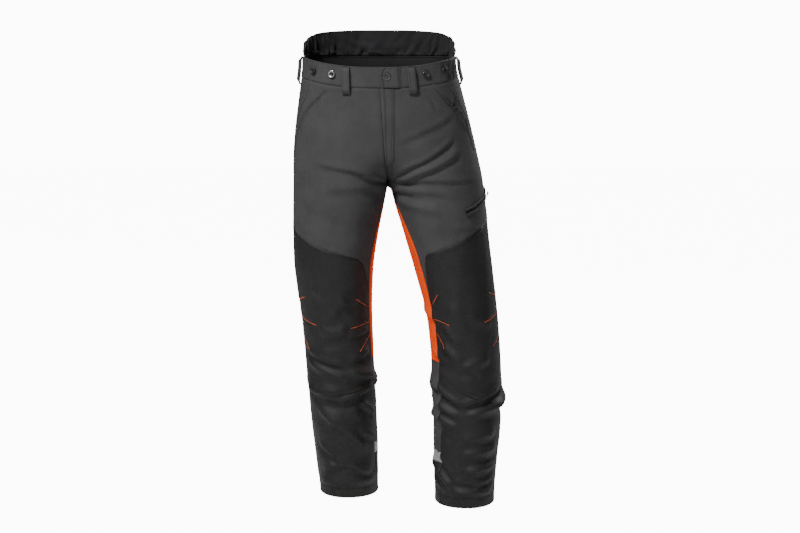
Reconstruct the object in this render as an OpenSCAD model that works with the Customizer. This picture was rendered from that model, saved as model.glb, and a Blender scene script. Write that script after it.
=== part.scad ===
// Protective chainsaw trousers: softshell body, abrasion panels on the legs, layered cut-protection
// inserts, raised back guard, brace buttons, zip fly and a zipped thigh pocket.
// Millimetres. The origin is the middle of the waist opening, level with the front top edge.
// +Z is up, the front faces -Y and +X is the wearer's left. The stance is a short step, left leg ahead.
// Garment pieces are sheets of one surface: u runs once round a leg (0 at the inseam or centre front,
// 0.5 at the side, 1 back at the inseam or centre back), z is the height, d is the depth into the cloth.

/* [Body] */
// Front top edge down to the hem
outseam = 1040; // [960:5:1120]
// Front top edge down to the crotch
rise = 272; // [250:1:300]
// Width at the waist
waist_w = 358; // [320:1:420]
// Depth at the waist
waist_d = 236; // [210:1:270]
// Width over both thighs at the crotch
hip_w = 452; // [420:1:520]
// Depth over the seat
hip_d = 264; // [240:1:300]

/* [Legs] */
// Leg depth at the crotch
thigh_d = 234; // [210:1:260]
// Leg width half way down the thigh
mid_thigh_w = 194; // [180:1:220]
// Leg depth half way down the thigh
mid_thigh_d = 212; // [190:1:230]
// Leg width at the knee
knee_w = 172; // [160:1:200]
// Leg depth at the knee
knee_d = 186; // [170:1:210]
// Front top edge down to the knee's bending line
knee_drop = 600; // [560:5:650]
// Leg width at the calf
calf_w = 166; // [150:1:190]
// Leg width at the hem
hem_w = 144; // [130:1:170]
// Leg depth at the hem
hem_d = 168; // [150:1:190]

/* [Stance] */
// How far out the right leg's middle is at mid-thigh
right_thigh_out = 131; // [118:1:150]
// How far out the right knee is
right_knee_out = 124; // [110:1:150]
// How far out the right hem is
right_hem_out = 97; // [90:1:140]
// How far out the left leg's middle is at mid-thigh
left_thigh_out = 152; // [130:1:170]
// How far out the left knee is
left_knee_out = 178; // [150:1:200]
// How far out the left hem is
left_hem_out = 184; // [150:1:210]
// How far back the right hem is
right_hem_back = 40; // [0:1:60]
// How far ahead the left hem is
left_hem_ahead = 50; // [0:1:70]
// Sideways lean of the body from the crotch up to the waist
body_lean = 21; // [0:1:25]

/* [Cloth layers] */
// Outer cloth thickness
cloth_t = 1.2; // [0.8:0.1:1.6]
// Thickness of facings, tapes and pocket cloth
facing_t = 1; // [0.6:0.1:1.2]
// Depth at which facings and pocket cloth lie
facing_depth = 2.4; // [2.2:0.1:2.6]
// Depth at which the cut-protection insert starts
insert_depth = 4.8; // [4.6:0.1:5.5]
// Thickness of one ply of the insert
ply_t = 1.8; // [1.2:0.1:2.2]
// Number of plies in the insert
plies = 3; // [2:1:4]
// Lining thickness
lining_t = 0.6; // [0.5:0.1:0.8]
// Needle-line gap between two panels sewn edge to edge
seam = 0.5; // [0.4:0.1:0.8]

/* [Panels] */
// Inner end of the right thigh seam above the knee panel
right_cut_inner = 460; // [430:1:480]
// Outer end of the right thigh seam
right_cut_outer = 370; // [345:1:400]
// Inner end of the left thigh seam
left_cut_inner = 446; // [420:1:470]
// Outer end of the left thigh seam
left_cut_outer = 342; // [325:1:375]
// Front top edge down to the lower seam of the knee panels, at their middle
knee_panel_end = 778; // [760:1:800]
// Upper seam of the stretch panel behind the knee
knee_back_top = 482; // [470:1:490]
// Lower seam of the stretch panel behind the knee
knee_back_end = 696; // [690:1:710]
// Top of the reflective strip
strip_drop = 912; // [880:1:930]
// Height of the reflective strip
strip_h = 26; // [20:1:40]
// Share of the leg that the side seam lies at
side_seam = 0.515; // [0.5:0.005:0.53]
// Share of the leg from the inseam back to the inner panel's rear edge
inner_back = 0.17; // [0.1:0.01:0.2]
// Depth of the folded hem
hem_fold = 24; // [15:1:35]

/* [Waist] */
// Height of the waistband
band_h = 50; // [40:1:60]
// How much higher the band is at the sides than at the front
side_rise = 22; // [10:1:30]
// Height of the back guard above the band
guard_h = 56; // [40:1:80]
// Width of a belt loop
loop_w = 20; // [15:1:25]
// Length of a belt loop
loop_l = 66; // [60:1:75]
// Room for a belt under a loop
loop_gap = 10; // [9:0.1:12]
// Distance of the front belt loops from the middle
front_loop_out = 75; // [68:1:85]
// Distance of the overlapping tab's sewn end from the middle
tab_l = 50; // [46:1:58]
// Distance of the waist snap from the middle
snap_out = 17; // [14:1:22]
// Radius of the snap's cap
snap_r = 9; // [7:0.5:10]
// Radius of a brace button's head
button_r = 8.5; // [7:0.5:9]
// Thickness of a brace button's rim
button_t = 2.4; // [2:0.1:3]

/* [Fly and pockets] */
// Length of the fly zip
zip_l = 132; // [110:1:140]
// Distance of the zip from the fly's edge
zip_out = 15; // [14:1:18]
// Depth of the zip behind the outer cloth
zip_depth = 16; // [15:0.1:18]
// Width of the fly facing
fly_w = 31; // [28:1:34]
// Pitch of the zip's teeth
tooth_pitch = 2.2; // [2:0.1:3]
// Angle that the thigh pocket's zip covers
pocket_sweep = 62; // [50:1:66]
// Width of the thigh pocket's welt
welt_w = 17; // [14:1:22]
// Length of a zip pull
pull_l = 20; // [16:1:24]

/* [Hidden] */
$fn = 40;

LEFT = 1;
RIGHT = -1;
hem_z = -outseam;
crotch_z = -rise;
knee_z = -knee_drop;
band_rise_z = -60;        // above this height the body is one ring with no cleft
crotch_out = hip_w / 4;
mid_thigh_z = crotch_z - 190;
calf_z = hem_z + 250;
guard_top_z = side_rise + guard_h;
seam_u = seam / (2 * knee_w + 2 * knee_d);
charcoal = [0.24, 0.24, 0.25];
black = [0.09, 0.09, 0.1];
orange = [1, 0.42, 0.08];
silver = [0.7, 0.7, 0.72];

// ---- Small functions ----
function mix(a, b, t) = a + (b - a) * t;
function clamp01(t) = max(0, min(1, t));
function ease(t) = let (c = clamp01(t)) c * c * (3 - 2 * c);
function spow(v, p) = sign(v) * pow(abs(v), p);

// Smooth curve through keys [[z, value], ...] in rising z, flat beyond both ends
function key_slope(k, i) =
    let (a = max(i - 1, 0), b = min(i + 1, len(k) - 1)) (k[b][1] - k[a][1]) / (k[b][0] - k[a][0]);
function curve(z, k) =
    z <= k[0][0] ? k[0][1] :
    z >= k[len(k) - 1][0] ? k[len(k) - 1][1] :
    let (
        i = max([for (j = [0:len(k) - 2]) if (k[j][0] <= z) j]),
        h = k[i + 1][0] - k[i][0],
        t = (z - k[i][0]) / h
    )
    k[i][1] * (1 + 2 * t) * pow(1 - t, 2) + k[i + 1][1] * t * t * (3 - 2 * t)
    + h * t * (1 - t) * (key_slope(k, i) * (1 - t) - key_slope(k, i + 1) * t);

// ---- The garment's surface ----
waist_to_crotch = [[crotch_z, body_lean], [crotch_z * 0.7, body_lean * 0.6], [0, 0]];
function middle_x(z) = curve(z, waist_to_crotch);

function body_half_w(z) = let (t = clamp01(z / crotch_z)) mix(waist_w / 2, hip_w / 2, (sin(90 * t) + t) / 2);
leg_half_w_keys = [
    [hem_z, hem_w / 2], [calf_z, calf_w / 2], [knee_z, knee_w / 2],
    [mid_thigh_z, mid_thigh_w / 2], [crotch_z, crotch_out]
];
right_out_keys = [
    [hem_z, right_hem_out], [knee_z, right_knee_out], [mid_thigh_z, right_thigh_out], [crotch_z, crotch_out]
];
left_out_keys = [
    [hem_z, left_hem_out], [calf_z, left_hem_out + 6], [knee_z, left_knee_out],
    [mid_thigh_z, left_thigh_out], [crotch_z, crotch_out]
];
function out(side, z) =
    z > crotch_z
        ? crotch_out * ease(pow(clamp01((z - band_rise_z) / (crotch_z - band_rise_z)), 2))
        : curve(z, side == LEFT ? left_out_keys : right_out_keys);
function half_w(side, z) = z > crotch_z ? body_half_w(z) - out(side, z) : curve(z, leg_half_w_keys);

half_d_keys = [
    [hem_z, hem_d / 2], [calf_z, knee_d / 2], [knee_z, knee_d / 2], [mid_thigh_z, mid_thigh_d / 2],
    [crotch_z, thigh_d / 2], [crotch_z * 0.6, hip_d / 2], [0, waist_d / 2]
];
function half_d(z) = curve(z, half_d_keys);
seat_back = 10;
body_y_keys = [[mid_thigh_z, 0], [crotch_z, seat_back / 2], [crotch_z * 0.6, seat_back], [0, 0], [guard_top_z, 3]];
right_y_keys = [[hem_z, right_hem_back], [knee_z, right_hem_back / 5], [mid_thigh_z, 0]];
left_y_keys = [[hem_z, -left_hem_ahead], [knee_z, -left_hem_ahead / 2], [mid_thigh_z, 0]];
function middle_y(side, z) =
    z > mid_thigh_z ? curve(z, body_y_keys) : curve(z, side == LEFT ? left_y_keys : right_y_keys);

squareness_keys = [[crotch_z, 2.1], [0, 2.5]];
function squareness(z) = curve(z, squareness_keys);

// A point of the cloth: where the two legs' ovals would cross the body's middle, both stop there
function surf(side, u, z, d) =
    let (
        a = half_w(side, z) - d,
        n = squareness(z),
        o = out(side, z),
        stop = o >= a ? 180 : acos(-pow(o / a, n / 2)),
        angle = stop * (1 - 2 * u)
    )
    [
        middle_x(z) + side * (o + a * spow(cos(angle), 2 / n)),
        middle_y(side, z) - (half_d(z) - d) * spow(sin(angle), 2 / n),
        z
    ];

// A point of the waist's ring: 0 at the left side, 90 in front, 180 at the right, 270 behind
function ring(angle, z, d) =
    let (a = body_half_w(z) - d, n = squareness(z))
    [
        middle_x(z) + a * spow(cos(angle), 2 / n),
        middle_y(LEFT, z) - (half_d(z) - d) * spow(sin(angle), 2 / n),
        z
    ];
function ring_angle(x_out, z) = acos(spow(x_out / body_half_w(z), squareness(z) / 2));
function ring_normal(angle, z) =
    let (n = cross(ring(angle, z + 1, 0) - ring(angle, z - 1, 0), ring(angle + 1, z, 0) - ring(angle - 1, z, 0)))
    n / norm(n);

// Stands a piece on the waist's ring, its +Z outwards and its foot at a depth
module on_ring(angle, z, depth) {
    n = ring_normal(angle, z);
    translate(ring(angle, z, 0) - depth * n) rotate([0, acos(n[2]), atan2(n[1], n[0])]) children();
}

// ---- Sheets ----
// A closed thin solid: at(s, t, k) gives its points, k = 0 on the outer face and 1 on the inner one
module sheet(cols, rows, flip, at) {
    size = (cols + 1) * (rows + 1);
    function id(k, i, j) = k * size + i * (rows + 1) + j;
    function quad(a, b, c, d) = flip ? [[a, c, b], [a, d, c]] : [[a, b, c], [a, c, d]];
    faces = [
        for (i = [0:cols - 1], j = [0:rows - 1]) each concat(
            quad(id(0, i, j), id(0, i, j + 1), id(0, i + 1, j + 1), id(0, i + 1, j)),
            quad(id(1, i, j), id(1, i + 1, j), id(1, i + 1, j + 1), id(1, i, j + 1))
        ),
        for (i = [0:cols - 1]) each concat(
            quad(id(0, i, 0), id(0, i + 1, 0), id(1, i + 1, 0), id(1, i, 0)),
            quad(id(0, i, rows), id(1, i, rows), id(1, i + 1, rows), id(0, i + 1, rows))
        ),
        for (j = [0:rows - 1]) each concat(
            quad(id(0, 0, j), id(1, 0, j), id(1, 0, j + 1), id(0, 0, j + 1)),
            quad(id(0, cols, j), id(0, cols, j + 1), id(1, cols, j + 1), id(1, cols, j))
        )
    ];
    points = [for (k = [0, 1], i = [0:cols], j = [0:rows]) at(i / cols, j / rows, k)];
    polyhedron(points, faces, 4);
}

// A panel of a leg: low(s) and high(s) are its lower and upper edges, from(z) and to(z) its side edges.
// Its rows may crowd together half way up, where the legs part.
function crowd(t, share) = t + share * sin(360 * t) / (2 * PI);
module panel(side, low, high, from, to, depth, thick, cols, rows, crowding = 0) {
    sheet(cols, rows, side == RIGHT, function(s, t, k)
        let (z = mix(low(s) + seam / 2, high(s) - seam / 2, crowd(t, crowding)))
        surf(side, mix(from(z) + seam_u, to(z) - seam_u, s), z, depth + k * thick));
}

// A piece of the waist's ring between two angles, with its lower and upper edges as functions of the angle
module band(from, to, low, high, depth, thick, cols, rows) {
    sheet(cols, rows, true, function(s, t, k)
        let (angle = mix(from, to, s), z = mix(low(angle), high(angle), t)) ring(angle, z, depth + k * thick));
}

// ---- Panel edges ----
function inseam_share(z) = sin(90 * clamp01((crotch_z - z) / 190));
function front_edge(side, z) = (side == LEFT ? 0.1 : 0.06) * inseam_share(z);
function back_edge(z) = 1 - inner_back * inseam_share(z);
function thigh_cut(side, s) =
    let (
        inner = side == LEFT ? left_cut_inner : right_cut_inner,
        outer = side == LEFT ? left_cut_outer : right_cut_outer,
        corner = side == LEFT ? [0.14, 105] : [0.2, 75]
    )
    -mix(inner, outer, pow(s, 1.3)) - corner[1] * pow(max(0, 1 - s / corner[0]), 2);
function knee_cut(side, s) =
    -knee_panel_end + (side == LEFT ? mix(63, 27, s) - 45 * sin(180 * s) : mix(28, 21, s) - 25 * sin(180 * s));
function band_top(angle) = side_rise * (sin(angle) > 0 ? pow(cos(angle), 2) : 1);
function leg_band_bottom(side, u) = band_top(90 * (1 - 2 * u)) - band_h;

// ---- Leg panels ----
module front_panel(side) {
    color(charcoal) panel(side, function(s) thigh_cut(side, s),
        function(s) leg_band_bottom(side, side_seam * s),
        function(z) front_edge(side, z), function(z) side_seam, 0, cloth_t, 18, 24, 0.6);
}

module back_panel(side) {
    color(charcoal) panel(side, function(s) -knee_back_top, function(s) side_rise - band_h,
        function(z) side_seam, function(z) back_edge(z), 0, cloth_t, 16, 20, 0.6);
}

module inner_panel(side, low, high, rows) {
    color(orange) panel(side, function(s) low, function(s) high,
        function(z) back_edge(z) - 1, function(z) front_edge(side, z), 0, cloth_t, 4, rows);
}

module knee_panel(side) {
    color(black) panel(side, function(s) knee_cut(side, s), function(s) thigh_cut(side, s),
        function(z) front_edge(side, z), function(z) side_seam, 0, cloth_t, 18, 8);
}

module knee_back_panel(side) {
    color(charcoal) panel(side, function(s) -knee_back_end, function(s) -knee_back_top,
        function(z) side_seam, function(z) back_edge(z), 0, cloth_t, 8, 5);
}

module shin_panel(side) {
    color(black) panel(side, function(s) hem_z, function(s) knee_cut(side, s),
        function(z) front_edge(side, z), function(z) side_seam, 0, cloth_t, 18, 5);
}

module rear_panel(side, low, high, rows, tint) {
    color(tint) panel(side, function(s) low, function(s) high,
        function(z) side_seam, function(z) 1 + front_edge(side, z), 0, cloth_t, 12, rows);
}

module hem_facing(side) {
    color(black) panel(side, function(s) hem_z, function(s) hem_z + hem_fold,
        function(z) 0, function(z) 1, facing_depth, facing_t, 24, 1);
}

module cut_protection(side) {
    color([0.85, 0.8, 0.6]) for (ply = [0:plies - 1]) panel(side,
        function(s) hem_z + 45, function(s) crotch_z - 28,
        function(z) front_edge(side, z), function(z) side_seam + 0.02,
        insert_depth + ply * (ply_t + 0.2), ply_t, 12, 9);
}

module leg_lining(side) {
    color([0.3, 0.3, 0.31]) panel(side, function(s) hem_z + hem_fold + 6, function(s) crotch_z - 24,
        function(z) 0, function(z) 1, insert_depth + plies * (ply_t + 0.2) + 2, lining_t, 26, 9);
}

// Stitched pleats at both edges of a knee panel: edge and tip heights above the knee, and the tip's u
pleats = [
    [42, 68, 0.155], [8, -2, 0.185], [-26, -60, 0.15],
    [52, 70, 0.395], [22, 4, 0.34], [-24, -56, 0.39]
];
pleat_low = 14;           // the right knee's pleats sit this much lower
tack_w = 1.8;
module knee_tacks(side) {
    color(orange) for (p = pleats) {
        shift = side == LEFT ? 0 : -pleat_low;
        sheet(1, 5, side == RIGHT, function(s, t, k)
            let (
                z = knee_z + shift + mix(p[0], p[1], t) + tack_w * (s - 0.5) * (p[2] < 0.3 ? 1 : -1),
                edge = p[2] < 0.3 ? front_edge(side, z) + 0.012 : 0.49,
                across = tack_w * (s - 0.5) / 700
            )
            surf(side, mix(edge, p[2], t) + across, z, k == 0 ? -1.6 : -0.7));
    }
}

// ---- Waist ----
side_angle = 90 * (2 * side_seam - 1);
band_gap = seam / 4;      // degrees between two pieces of the band
underlap = tab_l - 8;     // how far the right side of the band runs on under the tab
module waistband_side(side) {
    start = side == LEFT ? -side_angle + band_gap : ring_angle(underlap, 0);
    stop = side == LEFT ? ring_angle(tab_l, 0) : 180 + side_angle - band_gap;
    color(charcoal) band(start, stop,
        function(a) band_top(a) - band_h + seam / 2, function(a) band_top(a), 0, cloth_t, 16, 3);
}

module waistband_back() {
    color(charcoal) band(180 + side_angle + band_gap, 360 - side_angle - band_gap,
        function(a) side_rise - band_h + seam / 2, function(a) side_rise - seam / 2, 0, cloth_t, 26, 3);
}

module inner_waistband() {
    low = function(a) band_top(a) - band_h + 4;
    high = function(a) band_top(a) - 1;
    color(black) {
        band(ring_angle(underlap - 2, 0), 180, low, high, facing_depth, facing_t, 16, 3);
        band(0, ring_angle(tab_l + 2, 0), low, high, facing_depth, facing_t, 12, 3);
        band(181, 359, low, high, facing_depth, facing_t, 26, 3);
    }
}

elastic_depth = facing_depth + facing_t + 1.2;
module side_elastics() {
    color([0.2, 0.2, 0.22]) for (from = [6, 150]) band(from, from + 24,
        function(a) band_top(a) - band_h + 12, function(a) band_top(a) - 8, elastic_depth, 1.2, 6, 3);
}

// The guard's top edge: a straight run with quarter-round ends
function guard_top(angle) =
    let (w = abs(angle - 270) / (90 - side_angle), corner = clamp01((w - 0.6) / 0.4))
    side_rise + 2 + (guard_h - 2) * sqrt(max(0, 1 - corner * corner * 0.97));
guard_from = 180 + side_angle + band_gap;
guard_to = 360 - side_angle - band_gap;
module back_guard() {
    color(charcoal) band(guard_from, guard_to, function(a) side_rise, function(a) guard_top(a) - 3,
        0, cloth_t, 26, 3);
}

module back_guard_lining() {
    color(black) band(guard_from, guard_to, function(a) side_rise, function(a) guard_top(a) - 3,
        facing_depth, facing_t, 26, 3);
}

module guard_elastic() {
    color([0.15, 0.15, 0.16]) band(guard_from + 20, guard_to - 20,
        function(a) side_rise + 2, function(a) side_rise + 12, elastic_depth, 1.2, 14, 1);
}

module guard_binding() {
    color(black) band(guard_from, guard_to, function(a) guard_top(a) - 2.6, function(a) guard_top(a),
        -0.6, facing_depth + facing_t + 1, 26, 1);
}

// The tab lies in front of the band, with room under it for the snap
tab_room = 2.2;
tab_tip = 2;              // the point, from the middle
tab_tip_share = 0.7;      // how far up the band the point is
tab_back = [5, 12];       // how far the lower and the upper corner stay behind the point
function tab_edge(t) =
    tab_tip + (t < tab_tip_share
        ? tab_back[0] * (1 - t / tab_tip_share)
        : tab_back[1] * (t - tab_tip_share) / (1 - tab_tip_share));
module waist_tab() {
    color(charcoal) sheet(6, 10, true, function(s, t, k)
        let (angle = ring_angle(mix(tab_l, tab_edge(t), s), 0))
        ring(angle, mix(band_top(angle) - band_h + 1, band_top(angle), t), k * cloth_t - tab_room - cloth_t));
}

snap_z = -band_h * 0.42;
module at_snap(depth) {
    on_ring(ring_angle(snap_out, snap_z), snap_z, depth) children();
}

post_r = 3.6;
socket_bore = post_r + 0.8;
socket_h = tab_room - 0.6;
module waist_snap_cap() {
    color(silver) {
        at_snap(-tab_room - cloth_t - 0.3) rotate_extrude() polygon([
            [0, 0], [snap_r, 0], [snap_r, 1.2], [snap_r - 1, 2.2], [snap_r - 2.6, 2.2],
            [snap_r - 3.4, 1.4], [2.2, 1.4], [1.6, 2], [0, 2]
        ]);
        at_snap(-0.5) difference() {
            cylinder(r = socket_bore + 2, h = socket_h);
            translate([0, 0, -1]) cylinder(r = socket_bore, h = socket_h + 2);
        }
    }
}

module waist_snap_post() {
    color(silver) {
        at_snap(-0.2) cylinder(r = post_r, h = 1.2);
        at_snap(facing_depth + facing_t + 1.2) cylinder(r = 6, h = 0.8);
    }
}

// A belt loop: a strap that stands off the band between its two sewn ends
loop_t = 1.4;
module belt_loop(angle, top) {
    mid = ring(angle, top - loop_l / 2, 0);
    flank = norm(ring(angle + 1, top - loop_l / 2, 0) - mid);
    spread = loop_w / 2 / flank;
    color(charcoal) sheet(3, 10, true, function(s, t, k)
        let (lift = loop_gap * clamp01(6.5 * min(t, 1 - t)))
        ring(angle + spread * (2 * s - 1), top - loop_l * (1 - t), -(k == 0 ? loop_t : 0) - 0.4 - lift));
}

module front_belt_loops() {
    for (x = [-front_loop_out, front_loop_out]) let (a = ring_angle(x, -20)) belt_loop(a, band_top(a));
}

module side_belt_loops() {
    for (a = [0, 180]) belt_loop(a, side_rise);
}

module back_belt_loop() {
    belt_loop(270, side_rise - 1);
}

// Brace buttons, two on each side in front and two on the guard: [distance from the middle, height]
front_button_out = [107, 150];
back_button_out = 34;
function button_height(a) = sin(a) > 0 ? band_top(a) - band_h * 0.46 : side_rise + guard_h * 0.36;
button_angles = [
    for (x = front_button_out, side = [LEFT, RIGHT]) ring_angle(side * x, -10),
    for (side = [LEFT, RIGHT]) 360 - ring_angle(side * back_button_out, side_rise + 20)
];
// Each head stands off the cloth on a shank, so that a brace's end slips under it
shank_r = 3.2;
shank_h = 3;
module brace_buttons() {
    color([0.35, 0.35, 0.37]) for (a = button_angles) on_ring(a, button_height(a), -0.2) rotate_extrude() polygon([
        [0, 0], [shank_r, 0], [shank_r, shank_h], [button_r, shank_h], [button_r, shank_h + button_t],
        [button_r - 0.8, shank_h + button_t + 0.8], [button_r - 3, shank_h + button_t + 0.8],
        [button_r - 4.2, shank_h + button_t - 0.6], [0, shank_h + button_t - 0.6]
    ]);
}

module brace_button_rivets() {
    for (a = button_angles) color(silver) on_ring(a, button_height(a), facing_depth + facing_t + 1.6)
        cylinder(r = 5, h = 0.8);
}

// ---- Fly ----
fly_top_z = -band_h - 6;
fly_end_z = fly_top_z - zip_l;
fly_bottom_z = fly_end_z - 8;
zip_y = ring(90, fly_top_z, 0)[1] + zip_depth;
zip_top = [middle_x(fly_top_z) + zip_out, zip_y, fly_top_z];
zip_end = [middle_x(fly_end_z) + zip_out, zip_y, fly_end_z];
zip_tilt = atan2(zip_end[0] - zip_top[0], zip_l);
function fly_point(x, z, d) =
    let (a = half_w(LEFT, z), n = squareness(z), o = out(LEFT, z))
    [middle_x(z) + x, middle_y(LEFT, z) - (half_d(z) - d) * pow(1 - pow(abs(abs(x) - o) / a, n), 1 / n), z];

// A flat strip behind the fly, w0 to w1 from the fly's edge, its lower end rounded towards the edge
module fly_strip(w0, w1, top, bottom, depth) {
    sheet(5, 10, false, function(s, t, k)
        let (
            x = mix(w0, w1, s),
            z = mix(bottom + 26 * pow(clamp01((x - w0) / (w1 - w0)), 2), top, t)
        )
        fly_point(x, z, depth + k * facing_t));
}

module fly_facing() {
    color(charcoal) fly_strip(1, fly_w, -band_h - 3, fly_bottom_z, facing_depth + 1.8);
}

module fly_shield() {
    color(charcoal) fly_strip(-10, fly_w + 7, -band_h - 3, fly_bottom_z + 6, zip_depth + 5);
}

tape_t = 0.6;
tooth_d = 2;              // front to back
tooth_reach = 1.7;
row_gap = 1.4;            // between the two rows, where the slider's wedge passes
tape_w = 11;
module along_fly() {
    translate(zip_top) rotate([0, -zip_tilt, 0]) children();
}

module fly_zip_tapes() {
    color(black) along_fly() for (side = [-1, 1]) {
        x = row_gap / 2 + tooth_reach + 0.05;
        translate([side > 0 ? x : -x - tape_w, -tape_t / 2, -zip_l]) cube([tape_w, tape_t, zip_l + 4]);
    }
}

module fly_zip_teeth() {
    teeth = floor((zip_l - 6) / tooth_pitch);
    spine = 0.7;
    comb = concat(
        [[spine + row_gap / 2 + tooth_reach - spine, 0]],
        [for (i = [0:teeth - 1], c = [
            [1, 0.1], [0, 0.25], [0, 0.6], [1, 0.75]
        ]) [row_gap / 2 + (tooth_reach - spine) * c[0], -tooth_pitch * (i + c[1]) - 3]],
        [[row_gap / 2 + tooth_reach - spine, -zip_l + 1], [row_gap / 2 + tooth_reach, -zip_l + 1],
         [row_gap / 2 + tooth_reach, 0]]
    );
    color(silver) along_fly() {
        for (m = [0, 1]) mirror([m, 0, 0]) rotate([90, 0, 0])
            translate([0, 0, -tooth_d / 2]) linear_extrude(tooth_d) polygon(comb);
        translate([-3.4, -1.2, -zip_l - 2.6]) cube([6.8, 2.4, 2.4]);
    }
}

// A slider for a zip that runs along local -Z, its pull in front at -Y, centred on the tape
slider_w = 9.6;
slider_l = 12;
plate_t = 0.9;
plate_gap = tooth_d + 0.6;
bail_r = 0.8;
pull_bore = bail_r + 0.3;
pull_barrel_r = pull_bore + 0.8;
bail_y = -(plate_gap / 2 + plate_t + pull_barrel_r + 0.3);
bail_z = -5.2;
module slider_body() {
    for (f = [-1, 1]) translate([0, f * (plate_gap + plate_t) / 2, -slider_l / 2]) rotate([90, 0, 0])
        linear_extrude(plate_t, center = true) polygon([
            [-slider_w / 2, slider_l / 2], [slider_w / 2, slider_l / 2],
            [slider_w / 3, -slider_l / 2], [-slider_w / 3, -slider_l / 2]
        ]);
    translate([-0.4, -plate_gap / 2 - 0.1, -4]) cube([0.8, plate_gap + 0.2, 3.6]);
    for (f = [-1, 1]) translate([f * 2.7 - 0.5, bail_y - bail_r, bail_z - 1.2])
        cube([1, -bail_y + bail_r - plate_gap / 2 - 0.1, 2.4]);
    translate([-2.7, bail_y, bail_z]) rotate([0, 90, 0]) cylinder(r = bail_r, h = 5.4);
}

module pull_tab(w, l, t) {
    translate([0, bail_y, bail_z]) difference() {
        union() {
            translate([-1.9, -t / 2, -l]) cube([3.8, t, l - pull_bore]);
            translate([-1.9, 0, 0]) rotate([0, 90, 0]) cylinder(r = pull_barrel_r, h = 3.8);
            translate([-w / 2, -t / 2, -l]) cube([w, t, l * 0.72]);
        }
        translate([-5, 0, 0]) rotate([0, 90, 0]) cylinder(r = pull_bore, h = 10);
        translate([0, t, -l + 4]) rotate([90, 0, 0]) cylinder(r = 1.3, h = 2 * t);
    }
}

slider_start = 3;
module fly_zip_slider() {
    color(silver) along_fly() translate([0, 0, -slider_start]) slider_body();
}

module fly_zip_pull() {
    color(silver) along_fly() translate([0, 0, -slider_start]) pull_tab(5, 15, 1.2);
}

// ---- Hand and back pockets ----
pocket_mouth_top = [0.2, 0.19];
function mouth_u(t) = 0.42 - 0.17 * pow(t, 1.5);
mouth_low = -band_h - 150;
module hand_pocket_facings() {
    for (side = [LEFT, RIGHT]) color(charcoal) sheet(3, 6, side == RIGHT, function(s, t, k)
        let (z = mix(mouth_low, -band_h - 2, t)) surf(side, mouth_u(t) + mix(-0.035, 0.03, s), z, facing_depth + k * 0.6));
}

module hand_pocket_bags() {
    for (side = [LEFT, RIGHT]) color([0.16, 0.16, 0.17]) sheet(5, 6, side == RIGHT, function(s, t, k)
        let (z = mix(mouth_low - 40, -band_h - 4, t), back = 0.45, front = mix(0.16, 0.14, t))
        surf(side, mix(front, back, s), z, facing_depth + 1.6 + k * 1.2));
}

back_pocket_u = [0.62, 0.86];
back_pocket_top = -85;
back_pocket_h = 150;
flap_h = 52;
patch_d = 1.6;
module back_pocket() {
    color(charcoal) sheet(6, 6, true, function(s, t, k)
        let (
            corner = 12 * pow(abs(2 * s - 1), 6),
            z = mix(back_pocket_top - back_pocket_h + corner, back_pocket_top - 8, t)
        )
        surf(RIGHT, mix(back_pocket_u[0], back_pocket_u[1], s), z, k == 0 ? -patch_d - 0.6 : -0.6));
}

flap_out = patch_d + 1.5;
flap_t = 1.4;
module back_pocket_flap() {
    color(charcoal) sheet(6, 3, true, function(s, t, k)
        let (
            point = 8 * (1 - abs(2 * s - 1)),
            z = mix(back_pocket_top - flap_h - point, back_pocket_top, t)
        )
        surf(RIGHT, mix(back_pocket_u[0] - 0.008, back_pocket_u[1] + 0.008, s), z,
            -flap_out - (k == 0 ? flap_t : 0)));
}

// ---- Thigh pocket on the left leg: its zip follows the circle through three points of the cloth ----
pocket_mid_u = 0.425;
pocket_z = -317;
pocket_climb = 40;
function pocket_point(f) =
    surf(LEFT, pocket_mid_u + f * pocket_sweep / 720, pocket_z + pocket_climb * f / 2, -2.4);
pa = pocket_point(-1);
pb = pocket_point(0);
pc = pocket_point(1);
pocket_axis = let (n = cross(pc - pa, pb - pa), m = n / norm(n)) m[2] < 0 ? -m : m;
pocket_centre =
    let (a = pa - pc, b = pb - pc, ab = cross(a, b))
    pc + cross((a * a) * b - (b * b) * a, ab) / (2 * (ab * ab));
pocket_r = norm(pb - pocket_centre);
pocket_e1 = (pb - pocket_centre) / pocket_r;
pocket_e2 = cross(pocket_axis, pocket_e1);
function half_angle(f) = let (e = pa - pocket_centre) f * acos((e * pocket_e1) / norm(e));
pocket_half = half_angle(1);
module on_pocket() {
    m = [
        [pocket_e1[0], pocket_e2[0], pocket_axis[0], pocket_centre[0]],
        [pocket_e1[1], pocket_e2[1], pocket_axis[1], pocket_centre[1]],
        [pocket_e1[2], pocket_e2[2], pocket_axis[2], pocket_centre[2]],
        [0, 0, 0, 1]
    ];
    multmatrix(m) children();
}

module pocket_arc(r0, r1, z0, z1, half) {
    rotate([0, 0, -half]) rotate_extrude(angle = 2 * half, $fn = 180)
        translate([r0, z0]) square([r1 - r0, z1 - z0]);
}

zip_half = 2.6;           // half the height of the pocket's closed coil
module thigh_pocket_welt() {
    color(charcoal) on_pocket() {
        for (m = [0, 1]) mirror([0, 0, m])
            pocket_arc(pocket_r + 0.7, pocket_r + 2, zip_half + 1.2, welt_w / 2, pocket_half + 4);
        for (end = [-1, 1]) rotate([0, 0, end * (pocket_half + 2.4)])
            pocket_arc(pocket_r + 0.7, pocket_r + 2, -zip_half - 1.1, zip_half + 1.1, 1.4);
    }
}

module thigh_pocket_zip() {
    color(black) on_pocket() {
        pocket_arc(pocket_r - 0.6, pocket_r, -welt_w / 2 + 1, welt_w / 2 - 1, pocket_half + 3);
        for (m = [0, 1]) mirror([0, 0, m])
            pocket_arc(pocket_r + 0.1, pocket_r + 1.7, 0.6, zip_half, pocket_half);
    }
}

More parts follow.
